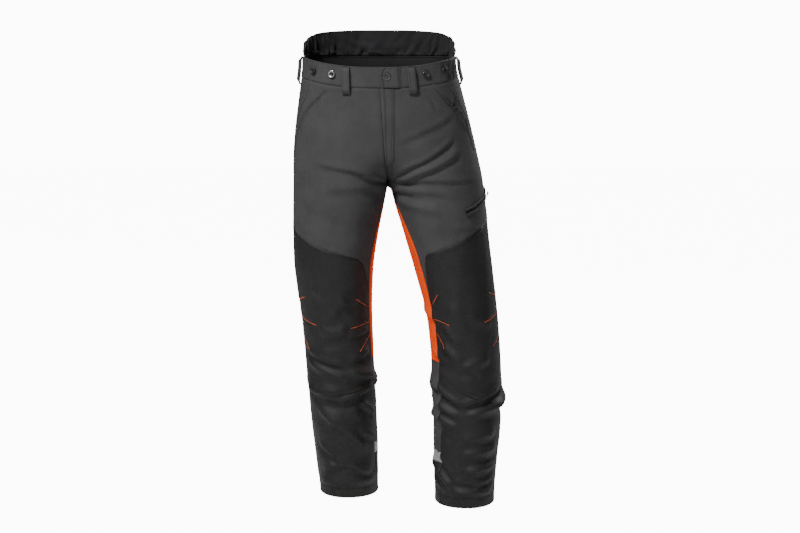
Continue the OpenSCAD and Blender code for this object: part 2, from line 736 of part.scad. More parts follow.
pocket_slider_angle = pocket_half - 4;
pocket_slider_w = 8;
pocket_slider_l = 10;
pocket_bail = [pocket_r + 3 + pull_barrel_r + 0.4, 0];
module thigh_pocket_slider() {
    color(silver) on_pocket() rotate([0, 0, pocket_slider_angle]) {
        translate([pocket_r + 2, -pocket_slider_l / 2, -zip_half - 0.9])
            cube([1, pocket_slider_l, 2 * zip_half + 1.8]);
        for (f = [-1, 1]) translate([pocket_r + 2.5, -1.2, f * 2.1 - 0.5])
            cube([pocket_bail[0] - pocket_r - 1.7, 2.4, 1]);
        translate([pocket_bail[0], 0, -2.1]) cylinder(r = bail_r, h = 4.2);
    }
}

module thigh_pocket_pull() {
    color([0.15, 0.15, 0.16]) on_pocket() rotate([0, 0, pocket_slider_angle]) translate([pocket_bail[0], 0, 0])
    rotate([0, 0, -7]) difference() {
        union() {
            cylinder(r = pull_barrel_r, h = 2.6, center = true);
            translate([-0.6, -pull_l * 0.5, -1.3]) cube([1.2, pull_l * 0.5 - pull_bore, 2.6]);
            translate([-0.6, -pull_l, -2.4]) cube([1.2, pull_l * 0.72, 4.8]);
        }
        cylinder(r = pull_bore, h = 10, center = true);
    }
}

module thigh_pocket_bag() {
    color([0.16, 0.16, 0.17]) sheet(5, 5, false, function(s, t, k)
        let (z = mix(pocket_z - 105, pocket_z + 22, t), half = pocket_sweep / 720)
        surf(LEFT, pocket_mid_u + mix(-half, half, s), z, facing_depth + k * 1.2));
}

// ---- What is drawn ----
front_panel(RIGHT);  // front_panel_right
front_panel(LEFT);  // front_panel_left
back_panel(RIGHT);  // back_panel_right
back_panel(LEFT);  // back_panel_left
inner_panel(RIGHT, -knee_back_top, crotch_z - 3, 7);  // inner_thigh_panel_right
inner_panel(LEFT, -knee_back_top, crotch_z - 3, 7);  // inner_thigh_panel_left
inner_panel(RIGHT, -knee_back_end, -knee_back_top, 5);  // inner_knee_panel_right
inner_panel(LEFT, -knee_back_end, -knee_back_top, 5);  // inner_knee_panel_left
knee_panel(RIGHT);  // knee_panel_right
knee_panel(LEFT);  // knee_panel_left
knee_back_panel(RIGHT);  // knee_back_panel_right
knee_back_panel(LEFT);  // knee_back_panel_left
shin_panel(RIGHT);  // shin_panel_right
shin_panel(LEFT);  // shin_panel_left
rear_panel(RIGHT, -strip_drop, -knee_back_end, 6, charcoal);  // calf_panel_right
rear_panel(LEFT, -strip_drop, -knee_back_end, 6, charcoal);  // calf_panel_left
rear_panel(RIGHT, -strip_drop - strip_h, -strip_drop, 1, silver);  // reflective_strip_right
rear_panel(LEFT, -strip_drop - strip_h, -strip_drop, 1, silver);  // reflective_strip_left
rear_panel(RIGHT, hem_z, -strip_drop - strip_h, 3, black);  // heel_panel_right
rear_panel(LEFT, hem_z, -strip_drop - strip_h, 3, black);  // heel_panel_left
hem_facing(RIGHT);  // hem_facing_right
hem_facing(LEFT);  // hem_facing_left
cut_protection(RIGHT);  // cut_protection_right
cut_protection(LEFT);  // cut_protection_left
leg_lining(RIGHT);  // leg_lining_right
leg_lining(LEFT);  // leg_lining_left
knee_tacks(RIGHT);  // knee_tacks_right
knee_tacks(LEFT);  // knee_tacks_left
waistband_side(RIGHT);  // waistband_right
waistband_side(LEFT);  // waistband_left
waistband_back();
inner_waistband();
side_elastics();
back_guard();
back_guard_lining();
guard_elastic();
guard_binding();
waist_tab();
waist_snap_cap();
waist_snap_post();
front_belt_loops();
side_belt_loops();
back_belt_loop();
brace_buttons();
brace_button_rivets();
fly_facing();
fly_shield();
fly_zip_tapes();
fly_zip_teeth();
fly_zip_slider();
fly_zip_pull();
hand_pocket_facings();
hand_pocket_bags();
back_pocket();
back_pocket_flap();
thigh_pocket_welt();
thigh_pocket_zip();
thigh_pocket_slider();
thigh_pocket_pull();
thigh_pocket_bag();
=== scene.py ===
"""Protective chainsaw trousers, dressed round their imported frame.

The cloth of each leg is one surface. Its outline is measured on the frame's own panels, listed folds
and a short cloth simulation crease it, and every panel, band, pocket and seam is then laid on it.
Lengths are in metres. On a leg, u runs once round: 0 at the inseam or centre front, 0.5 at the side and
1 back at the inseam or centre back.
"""

import logging
import math
from dataclasses import dataclass, field
from enum import Enum
from typing import Callable, Iterable, Sequence

import bmesh
import bpy
import numpy as np
from mathutils import Matrix, Vector
from mathutils.kdtree import KDTree


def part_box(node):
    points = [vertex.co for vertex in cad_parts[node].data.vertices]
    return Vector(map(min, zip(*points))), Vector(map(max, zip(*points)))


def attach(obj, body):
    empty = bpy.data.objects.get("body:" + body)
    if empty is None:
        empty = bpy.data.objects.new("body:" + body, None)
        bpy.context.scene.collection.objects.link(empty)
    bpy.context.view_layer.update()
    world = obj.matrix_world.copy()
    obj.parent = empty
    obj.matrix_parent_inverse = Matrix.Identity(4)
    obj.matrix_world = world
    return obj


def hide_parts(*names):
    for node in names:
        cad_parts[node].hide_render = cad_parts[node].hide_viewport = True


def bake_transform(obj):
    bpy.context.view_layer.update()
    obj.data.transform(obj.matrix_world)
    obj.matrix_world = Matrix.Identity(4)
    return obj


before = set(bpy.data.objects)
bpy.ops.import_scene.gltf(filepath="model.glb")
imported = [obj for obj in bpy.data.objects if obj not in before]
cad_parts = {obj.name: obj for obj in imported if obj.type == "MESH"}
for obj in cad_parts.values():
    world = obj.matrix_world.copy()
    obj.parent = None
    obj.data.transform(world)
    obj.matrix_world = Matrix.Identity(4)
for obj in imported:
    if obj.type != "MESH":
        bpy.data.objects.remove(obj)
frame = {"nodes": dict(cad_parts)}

LOG = logging.getLogger("trousers")
MM = 0.001
BAND_LINE_Z = -20 * MM
SHORT_OF_END = 1e-6
Array = np.ndarray
Pair = tuple[np.ndarray, np.ndarray]
Curve = Callable[[Array], Array]
Locator = Callable[[Array, Array, Array], Array]


class Side(Enum):
    """The wearer's two sides; the value is the sign of x."""

    LEFT = 1
    RIGHT = -1

    @property
    def word(self) -> str:
        """The side's name inside node names."""
        return self.name.lower()

    @property
    def shin(self) -> str:
        """The body that the lower leg rides on."""
        return f"{self.word}_shin"


class Slot(Enum):
    """The record's material slots."""

    GREY = "grey_stretch_cloth"
    BLACK = "black_abrasion_cloth"
    ORANGE = "orange_stretch_cloth"
    LINING = "lining_cloth"
    DARK_LINING = "black_lining_cloth"
    FIBRE = "cut_fibre"
    THREAD = "orange_thread"
    SILVER = "reflective_tape"
    ELASTIC = "elastic"
    GUNMETAL = "gunmetal"
    ZIP_METAL = "zip_metal"
    ZIP_TAPE = "zip_tape"
    MOULDED = "moulded_black"


# ---------------------------------------------------------------- small maths


def mix(a: float | Array, b: float | Array, t: float | Array) -> float | Array:
    """Runs from a to b as t runs from 0 to 1."""
    return a + (b - a) * t


def ease(t: float | Array) -> float | Array:
    """A soft step from 0 to 1."""
    c = np.clip(t, 0.0, 1.0)
    return c * c * (3.0 - 2.0 * c)


def signed_power(v: Array, p: float | Array) -> Array:
    """Raises the size of v to a power and keeps its sign."""
    return np.sign(v) * np.abs(v) ** p


def blur(values: Array, sigma: float, axis: int = 0, wrap: bool = False) -> Array:
    """Smooths values along one axis.

    Args:
        values: The numbers to smooth.
        sigma: The spread of the bell, in samples.
        axis: The axis to smooth along.
        wrap: Whether the axis closes on itself.

    Returns:
        The smoothed numbers, in the same shape.
    """
    reach = max(1, int(3 * sigma))
    bell = np.exp(-0.5 * (np.arange(-reach, reach + 1) / sigma) ** 2)
    bell /= bell.sum()
    moved = np.moveaxis(values, axis, 0)
    padded = np.concatenate([moved[-reach:], moved, moved[:reach]] if wrap
                            else [np.repeat(moved[:1], reach, 0), moved, np.repeat(moved[-1:], reach, 0)])
    total = sum(weight * padded[k:k + len(moved)] for k, weight in enumerate(bell))
    return np.moveaxis(total, 0, axis)


def bilinear(table: Array, i: Array, j: Array) -> Array:
    """Reads a lattice table between its corners.

    Args:
        table: The values at the corners, numbers or rows of three.
        i: How far along the first axis, in steps.
        j: How far along the second axis.

    Returns:
        The values there.
    """
    i0, j0 = i.astype(int), j.astype(int)
    fi, fj = i - i0, j - j0
    if table.ndim == 3:
        fi, fj = fi[..., None], fj[..., None]
    return ((table[i0, j0] * (1 - fi) + table[i0 + 1, j0] * fi) * (1 - fj)
            + (table[i0, j0 + 1] * (1 - fi) + table[i0 + 1, j0 + 1] * fi) * fj)


def mesh_of(name: str, bm: bmesh.types.BMesh) -> bpy.types.Mesh:
    """Turns a bmesh into a mesh, and frees it."""
    mesh = bpy.data.meshes.new(name)
    bm.to_mesh(mesh)
    bm.free()
    return mesh


def link(name: str, data: bpy.types.ID) -> bpy.types.Object:
    """Puts a mesh, a light or a camera into the scene as an object."""
    obj = bpy.data.objects.new(name, data)
    bpy.context.scene.collection.objects.link(obj)
    return obj


# ---------------------------------------------------------------- measuring the frame


@dataclass
class FrameSlicer:
    """Cuts CAD nodes with level planes and reads how far they reach."""

    nodes: dict[str, bpy.types.Object]
    cache: dict[str, Pair] = field(default_factory=dict)

    def arrays(self, name: str) -> Pair:
        """A node's corner places and its edges' ends."""
        if name not in self.cache:
            mesh = self.nodes[name].data
            places = np.zeros(len(mesh.vertices) * 3)
            mesh.vertices.foreach_get("co", places)
            ends = np.zeros(len(mesh.edges) * 2, int)
            mesh.edges.foreach_get("vertices", ends)
            self.cache[name] = (places.reshape(-1, 3), ends.reshape(-1, 2))
        return self.cache[name]

    def reach(self, names: Iterable[str], z: float) -> tuple[float, float, float, float] | None:
        """Measures a level cut.

        Args:
            names: The nodes to cut.
            z: The height of the plane.

        Returns:
            The lowest and highest x, then the lowest and highest y, or None where nothing is cut.
        """
        found = []
        for name in names:
            places, ends = self.arrays(name)
            a, b = places[ends[:, 0]], places[ends[:, 1]]
            cut = (a[:, 2] - z) * (b[:, 2] - z) < 0
            if cut.any():
                a, b = a[cut], b[cut]
                share = ((z - a[:, 2]) / (b[:, 2] - a[:, 2]))[:, None]
                found.append(a + (b - a) * share)
        if not found:
            return None
        x, y = np.concatenate(found)[:, 0], np.concatenate(found)[:, 1]
        return x.min(), x.max(), y.min(), y.max()


@dataclass
class Outline:
    """The garment's outline: each side's middle and half sizes at every height."""

    slicer: FrameSlicer
    band_rise_z: float = -0.060
    level_step: float = 0.002
    waist_squareness: float = 2.5
    leg_squareness: float = 2.1
    top_z: float = 0.084
    hem_z: float = 0.0
    crotch_z: float = 0.0
    levels: Array = field(default_factory=lambda: np.zeros(0))
    sizes: dict[Side, Array] = field(default_factory=dict)

    def measure(self) -> "Outline":
        """Measures the CAD panels at many heights and keeps smooth curves through the sizes."""
        self.hem_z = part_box("heel_panel_left")[0].z
        self.crotch_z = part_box("inner_thigh_panel_left")[1].z + 3 * MM
        self.levels = np.arange(self.hem_z - 0.004, self.top_z, self.level_step)
        torso = self._torso()
        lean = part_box("back_guard")[1].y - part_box("waistband_back")[1].y
        for side in Side:
            leg = self._leg(side)
            top = torso[side][-1] + np.array([self.top_z, 0, 0, lean, 0])
            keys = np.concatenate([leg, torso[side], top[None]])
            rows = np.stack([np.interp(self.levels, keys[:, 0], keys[:, k]) for k in range(1, 5)], 1)
            self.sizes[side] = blur(rows, 5.0)
        return self

    def _leg(self, side: Side) -> Array:
        """Rows of height, middle x, half width, middle y and half depth of one leg."""
        names = [f"{kind}_{side.word}" for kind in (
            "front_panel", "back_panel", "inner_thigh_panel", "inner_knee_panel", "knee_panel",
            "knee_back_panel", "shin_panel", "calf_panel", "reflective_strip", "heel_panel")]
        rows = []
        for z in np.linspace(self.hem_z + 2 * MM, self.crotch_z - 8 * MM, 44):
            x0, x1, y0, y1 = self.slicer.reach(names, z)
            rows.append([z, (x0 + x1) / 2, (x1 - x0) / 2, (y0 + y1) / 2, (y1 - y0) / 2])
        return np.array(rows)

    def _torso(self) -> dict[Side, Array]:
        """The same rows for the body above the crotch, where the two sides share one ring."""
        panels = ["front_panel_left", "front_panel_right", "back_panel_left", "back_panel_right"]
        bands = ["waistband_left", "waistband_right", "waistband_back"]
        rows: dict[Side, list[list[float]]] = {side: [] for side in Side}
        crotch_out = None
        for z in np.linspace(self.crotch_z + 1 * MM, -1 * MM, 30):
            x0, x1, y0, y1 = self.slicer.reach(panels + bands, z)
            middle, half = (x0 + x1) / 2, (x1 - x0) / 2
            crotch_out = half / 2 if crotch_out is None else crotch_out
            t = float(np.clip((z - self.band_rise_z) / (self.crotch_z - self.band_rise_z), 0, 1))
            out = crotch_out * float(ease(t * t))
            for side in Side:
                rows[side].append([z, middle + side.value * out, half - out, (y0 + y1) / 2, (y1 - y0) / 2])
        return {side: np.array(r) for side, r in rows.items()}

    def at(self, side: Side, z: Array) -> tuple[Array, ...]:
        """Middle x, half width, middle y and half depth of one side at heights z."""
        return tuple(np.interp(z, self.levels, self.sizes[side][:, k]) for k in range(4))

    def middle_x(self, z: Array) -> Array:
        """Where the body's middle plane is at heights z."""
        return (np.interp(z, self.levels, self.sizes[Side.LEFT][:, 0])
                + np.interp(z, self.levels, self.sizes[Side.RIGHT][:, 0])) / 2

    def surface(self, side: Side, u: Array, z: Array, depth: float = 0.0) -> Array:
        """Places of the unfolded cloth.

        Args:
            side: The leg.
            u: The share of the way round.
            z: The heights.
            depth: How far inside the outer face.

        Returns:
            The places, one row of three for each u and z.
        """
        x, a, y, b = self.at(side, z)
        n = mix(self.leg_squareness, self.waist_squareness, np.clip(1 - z / self.crotch_z, 0, 1))
        out = np.where(z > self.crotch_z, side.value * (x - self.middle_x(z)), a)
        a, b = a - depth, b - depth
        stop = np.arccos(np.clip(-signed_power(np.clip(out / a, 0, 1), n / 2), -1, 1))
        angle = stop * (1 - 2 * u)
        return np.stack([x + side.value * a * signed_power(np.cos(angle), 2 / n),
                         y - b * signed_power(np.sin(angle), 2 / n), z + 0 * u], -1)


# ---------------------------------------------------------------- folds


END_OVERRUN, END_FADE = 0.08, 0.28
STEEP_SIDE, SOFT_SIDE = 1.2, 0.5
TROUGH, TROUGH_AT, TROUGH_WIDE = 0.45, 1.5, 0.8


@dataclass(frozen=True)
class Fold:
    """One crease: a line on a leg where the cloth stands out or sinks in.

    The line runs from (u0, z0) to (u1, z1), bowed by bow; high is its height, and wide its half width.
    """

    side: Side
    u0: float
    z0: float
    u1: float
    z1: float
    high: float
    wide: float
    bow: float = 0.0

    def height(self, arc: Array, z: Array, round_it: float) -> Array:
        """How far the cloth moves out at each place.

        Args:
            arc: The way round the leg, in metres.
            z: The heights.
            round_it: The leg's length all the way round, in metres.

        Returns:
            The movement, in metres.
        """
        start, end = np.array([self.u0 * round_it, self.z0]), np.array([self.u1 * round_it, self.z1])
        along = end - start
        length = float(np.hypot(*along))
        along /= length
        across = np.array([-along[1], along[0]])
        offsets = np.stack([arc - start[0], z - start[1]], -1)
        t = offsets @ along / length
        d = offsets @ across - self.bow * 4 * t * (1 - t)
        fade = ease((t + END_OVERRUN) / END_FADE) * ease((1 + END_OVERRUN - t) / END_FADE)
        sign = np.sign(self.high)
        steep = np.where(d * sign > 0, STEEP_SIDE, SOFT_SIDE) * self.wide
        trough = TROUGH * np.exp(-((d + sign * TROUGH_AT * self.wide) / (TROUGH_WIDE * self.wide)) ** 2)
        return self.high * fade * (np.exp(-(d / steep) ** 2) - trough)


# Listed folds: u0, z0, u1, z1, then the height, the half width and, where there is one, the bow in mm.
FOLD_ROWS: dict[Side, tuple[tuple[float, ...], ...]] = {
    Side.LEFT: (
        (0.05, -0.258, 0.27, -0.172, -2.2, 7), (0.06, -0.274, 0.29, -0.194, 2, 10),
        (0.05, -0.178, 0.29, -0.12, -1.2, 9), (0.03, -0.266, 0.38, -0.274, -1.6, 7),
        (0.05, -0.276, 0.37, -0.318, -1.3, 7), (0.36, -0.8, 0.6, -0.785, 4.2, 16),
        (0.3, -0.104, 0.34, -0.058, -1.8, 5), (0.2, -0.098, 0.16, -0.06, -1.2, 6),
        (0.88, -0.745, 1, -0.765, 3.2, 20), (0, -0.765, 0.1, -0.745, 3.2, 20),
        (0.62, -0.3, 0.9, -0.268, 2.6, 12, 10), (0.6, -0.34, 0.88, -0.3, 2.4, 13, 10),
        (0.56, -0.548, 0.8, -0.592, 1.6, 12), (0.6, -0.632, 0.9, -0.6, -2.2, 9),
        (0.58, -0.668, 0.84, -0.69, 2, 15), (0.62, -0.806, 0.92, -0.765, 2, 14),
        (0.56, -0.85, 0.86, -0.884, -2, 10), (0.6, -0.975, 0.92, -0.945, 1.7, 11),
        (0.033, -0.756, 0.219, -0.803, -5, 9), (0.219, -0.803, 0.424, -0.766, -5, 9),
        (0, -0.782, 0.209, -0.819, 3.2, 11), (0.238, -0.817, 0.433, -0.792, 3.2, 13),
        (0, -0.824, 0.21, -0.852, 3.6, 9, 8), (0, -0.842, 0.188, -0.878, -3.4, 8, 6),
        (0.242, -0.933, 0.417, -0.92, -3.4, 7), (0.22, -0.913, 0.41, -0.898, 3, 11),
        (0.243, -0.953, 0.403, -0.941, 3.2, 10), (0.059, -0.915, 0.179, -0.974, -3.2, 7),
        (0, -0.933, 0.18, -0.994, 3, 9), (0.168, -0.981, 0.31, -0.991, -2.8, 6),
        (0.31, -0.991, 0.404, -0.979, -2.8, 6), (0.192, -1.004, 0.393, -1.005, 3, 8),
        (0, -0.989, 0.192, -1.019, -2.6, 7), (0.209, -0.878, 0.394, -0.862, 2.2, 14),
        (0.14, -0.655, 0.227, -0.693, 2.4, 14), (0.032, -0.68, 0.206, -0.716, -2.2, 10),
        (0.216, -0.711, 0.304, -0.723, -2.4, 8), (0.226, -0.701, 0.357, -0.686, 2, 12),
        (0.202, -0.554, 0.257, -0.625, 1.4, 18), (0.266, -0.584, 0.386, -0.605, 1.4, 16),
        (0.157, -0.605, 0.222, -0.655, 1.6, 14), (0, -0.574, 0.126, -0.595, 1.8, 12),
        (0.161, -0.438, 0.296, -0.483, 1, 22), (0, -0.291, 0.228, -0.309, -2, 9),
        (0.063, -0.312, 0.258, -0.337, 1.6, 14), (0, -0.276, 0.182, -0.294, 1.8, 10),
        (0.302, -0.352, 0.387, -0.372, -1.6, 9), (0.283, -0.367, 0.41, -0.38, 1.6, 12),
    ),
    Side.RIGHT: (
        (0.26, -0.11, 0.22, -0.058, -1.8, 5), (0.33, -0.1, 0.35, -0.056, -2, 4),
        (0.39, -0.095, 0.38, -0.056, -1.6, 4), (0, -0.757, 0.12, -0.765, 3, 13),
        (0.86, -0.765, 1, -0.757, 3, 13), (0.03, -0.266, 0.26, -0.225, 1.6, 10, 8),
        (0.04, -0.29, 0.3, -0.285, 1.4, 14, 10), (0.62, -0.3, 0.9, -0.268, 2.6, 12, 10),
        (0.6, -0.35, 0.88, -0.31, 2.4, 13, 10), (0.6, -0.6, 0.86, -0.566, 1.6, 13),
        (0.56, -0.618, 0.82, -0.648, -2.2, 9), (0.58, -0.712, 0.9, -0.676, 2, 15),
        (0.54, -0.792, 0.84, -0.752, 2, 14), (0.62, -0.848, 0.94, -0.89, -2, 10),
        (0.56, -0.984, 0.86, -0.95, 1.7, 11), (0.252, -0.808, 0.422, -0.782, -5, 9),
        (0.069, -0.769, 0.252, -0.808, -5, 9), (0.058, -0.739, 0.214, -0.728, 3.5, 14),
        (0.248, -0.776, 0.436, -0.764, 2.5, 12), (0.135, -0.928, 0.369, -0.819, 3.2, 15, 8),
        (0.271, -0.956, 0.403, -0.913, -3.2, 8), (0.239, -0.951, 0.376, -0.979, 2.8, 9, 4),
        (0.11, -0.979, 0.24, -0.953, 2.8, 9, -4), (0.205, -0.648, 0.32, -0.655, -3.4, 9),
        (0.079, -0.632, 0.205, -0.648, -2.6, 8), (0.202, -0.625, 0.325, -0.627, 2.8, 13),
        (0.213, -0.718, 0.442, -0.675, -3.4, 9, -5), (0.215, -0.741, 0.417, -0.701, 2.2, 12),
        (0.09, -0.675, 0.195, -0.691, 2.2, 10), (0.195, -0.554, 0.343, -0.526, 1.6, 14),
        (0.122, -0.567, 0.238, -0.574, -2.4, 18), (0.195, -0.554, 0.281, -0.595, 1.8, 14),
        (0.151, -0.827, 0.317, -0.852, 1.8, 16), (0.069, -0.837, 0.155, -0.802, 3, 9),
        (0.063, -0.898, 0.178, -0.867, 2.2, 11), (0.073, -0.999, 0.432, -1.004, 1.8, 12),
        (0.132, -0.372, 0.408, -0.302, 1, 26), (0.095, -0.332, 0.236, -0.281, 1.2, 18),
    ),
}


@dataclass
class FoldPlan:
    """The folds of both legs, and the fine unevenness of worn cloth between them."""

    seed: int = 11
    fine: float = 0.6 * MM
    gain: float = 3.0
    pleats: tuple[Fold, ...] = ()

    def set_folds(self, side: Side, arc: Array, z: Array, round_it: float) -> Array:
        """The sum of every fold on one leg."""
        total = np.zeros_like(z)
        for *line, high, wide, bow in (row if len(row) == 7 else (*row, 0.0) for row in FOLD_ROWS[side]):
            total += self.gain * Fold(side, *line, high * MM, wide * MM, bow * MM).height(arc, z, round_it)
        for fold in self.pleats:
            if fold.side is side:
                total += fold.height(arc, z, round_it)
        return total

    def unevenness(self, shape: tuple[int, int]) -> Array:
        """Soft seeded noise over a lattice of round-the-leg rows by heights."""
        draw = np.random.default_rng(self.seed)
        total = np.zeros(shape)
        for sigma, size in ((5, 1.0), (11, 1.6), (24, 2.4)):
            layer = blur(blur(draw.standard_normal(shape), sigma, 0, wrap=True), sigma, 1)
            total += size * layer / layer.std()
        return self.fine * total / 3


# ---------------------------------------------------------------- the creased skin


@dataclass
class Skin:
    """The creased outer surface of both legs, held on a fine lattice of places."""

    outline: Outline
    plan: FoldPlan
    columns: int = 200
    rows: int = 340
    most_in: float = 4.4 * MM
    calm_share: float = 0.7
    calm_high: float = 1.5 * MM
    calm_blur: float = 3.5
    places: dict[Side, Array] = field(default_factory=dict)
    normals: dict[Side, Array] = field(default_factory=dict)
    round_it: dict[Side, Array] = field(default_factory=dict)
    calm_places: dict[Side, Array] = field(default_factory=dict)
    calm_normals: dict[Side, Array] = field(default_factory=dict)

    def make(self) -> "Skin":
        """Lays the lattice on the outline and folds it."""
        crumple = Crumple(self.outline)
        u = np.linspace(0, 1, self.columns + 1)
        self.z = np.linspace(self.outline.hem_z - 2 * MM, self.outline.top_z - 2 * MM, self.rows + 1)
        grid_u, grid_z = np.meshgrid(u, self.z, indexing="ij")
        for side in Side:
            base = self.outline.surface(side, grid_u, grid_z)
            step = np.linalg.norm(np.diff(base, axis=0), axis=-1)
            self.round_it[side] = step.sum(0)
            normal = self._normals(side, base)
            arc = grid_u * self.round_it[side].mean()
            fold = self.plan.set_folds(side, arc, grid_z, float(self.round_it[side].mean()))
            if crumple is not None:
                done = crumple.run(side, self.plan)(grid_u, grid_z)
                legs = ease((self.outline.crotch_z - 6 * MM - grid_z) / 0.05)
                fold = mix(fold, mix(fold, done, crumple.trust), legs)
            fold = fold + self.plan.unevenness(grid_z.shape)
            fold = np.where(fold > 0, fold, self.most_in * np.tanh(fold / self.most_in))
            fold *= self._calm(grid_u, grid_z) * self._calm_pocket(side, grid_u, grid_z)
            self.places[side] = base + normal * fold[..., None]
            self.normals[side] = self._normals(side, self.places[side])
            soft = blur(np.minimum(fold, self.calm_high), self.calm_blur, 0, wrap=True)
            soft = self.calm_share * blur(soft, self.calm_blur, 1)
            self.calm_places[side] = base + normal * soft[..., None]
            self.calm_normals[side] = normal
        return self

    @staticmethod
    def _calm_pocket(side: Side, u: Array, z: Array) -> Array:
        """Stills the cloth round the thigh pocket's stiff zip."""
        if side is Side.RIGHT:
            return np.ones_like(u)
        middle_u, middle_z, reach_u, reach_z = 0.425, -0.317, 0.13, 0.045
        near = np.hypot((u - middle_u) / reach_u, (z - middle_z) / reach_z)
        return ease((near - 0.7) / 0.8)

    def _calm(self, u: Array, z: Array) -> Array:
        """Where the cloth may crease: less near the waistband, the hems and the middle seam."""
        band = ease((-0.052 - z) / 0.05)
        hem = 0.35 + 0.65 * ease((z - self.outline.hem_z) / 0.05)
        middle = np.where(z > self.outline.crotch_z, ease(np.minimum(u, 1 - u) / 0.05), 1.0)
        return band * hem * middle

    def _normals(self, side: Side, places: Array) -> Array:
        """Unit normals of a lattice, outwards."""
        du = np.gradient(places, axis=0)
        dz = np.gradient(places, axis=1)
        closed = self.z < self.outline.crotch_z
        wrap = (places[1] - places[-2]) / 2
        du[0][closed], du[-1][closed] = wrap[closed], wrap[closed]
        n = np.cross(du, dz) * side.value
        share = np.linspace(0, 1, self.columns + 1)
        apart = ease(np.minimum(share, 1 - share) / 0.02)[:, None]
        n[..., 0] *= np.where(self.z[None, :] > self.outline.crotch_z - 4 * MM, apart, 1.0)
        return n / np.maximum(np.linalg.norm(n, axis=-1, keepdims=True), 1e-9)

    def _locator(self, places: Array, normals: Array) -> Locator:
        """A locator on one lattice, where u wraps at the inseam."""
        def locate(u: Array, z: Array, lift: Array) -> Array:
            """Places at u and z, lifted off the cloth."""
            u, z = np.broadcast_arrays(u, z)
            w = np.where(u < 0, u + 1, np.where(u > 1, u - 1, u))
            i = np.clip(w * self.columns, 0, self.columns - SHORT_OF_END)
            j = np.clip((z - self.z[0]) / (self.z[1] - self.z[0]), 0, self.rows - SHORT_OF_END)
            return bilinear(places, i, j) + bilinear(normals, i, j) * np.asarray(lift)[..., None]
        return locate

    def on_leg(self, side: Side) -> Locator:
        """A locator for one leg's outer cloth."""
        return self._locator(self.places[side], self.normals[side])

    def inside_leg(self, side: Side) -> Locator:
        """A locator for layers inside one leg, where the folds are softer."""
        return self._locator(self.calm_places[side], self.calm_normals[side])

    def on_ring(self) -> Locator:
        """A locator for the body's ring: 0 in front, 0.5 at the left side, 1 behind, 1.5 at the right."""
        left, right = self.on_leg(Side.LEFT), self.on_leg(Side.RIGHT)

        def locate(w: Array, z: Array, lift: Array) -> Array:
            """Places at w and z, lifted off the cloth."""
            w, z, lift = np.broadcast_arrays(np.mod(w, 2.0), z, lift)
            return np.where((w <= 1)[..., None], left(np.minimum(w, 1), z, lift),
                            right(np.minimum(2 - w, 1), z, lift))
        return locate

    def u_at_x(self, x: float, z: float, lift: float = 0.0) -> float:
        """The ring's share, in front, where the cloth is at x at height z."""
        w = np.linspace(-0.5, 0.5, 401)
        places = self.on_ring()(w, z, lift)
        return float(np.interp(x, places[:, 0], w))


# ---------------------------------------------------------------- cloth simulation


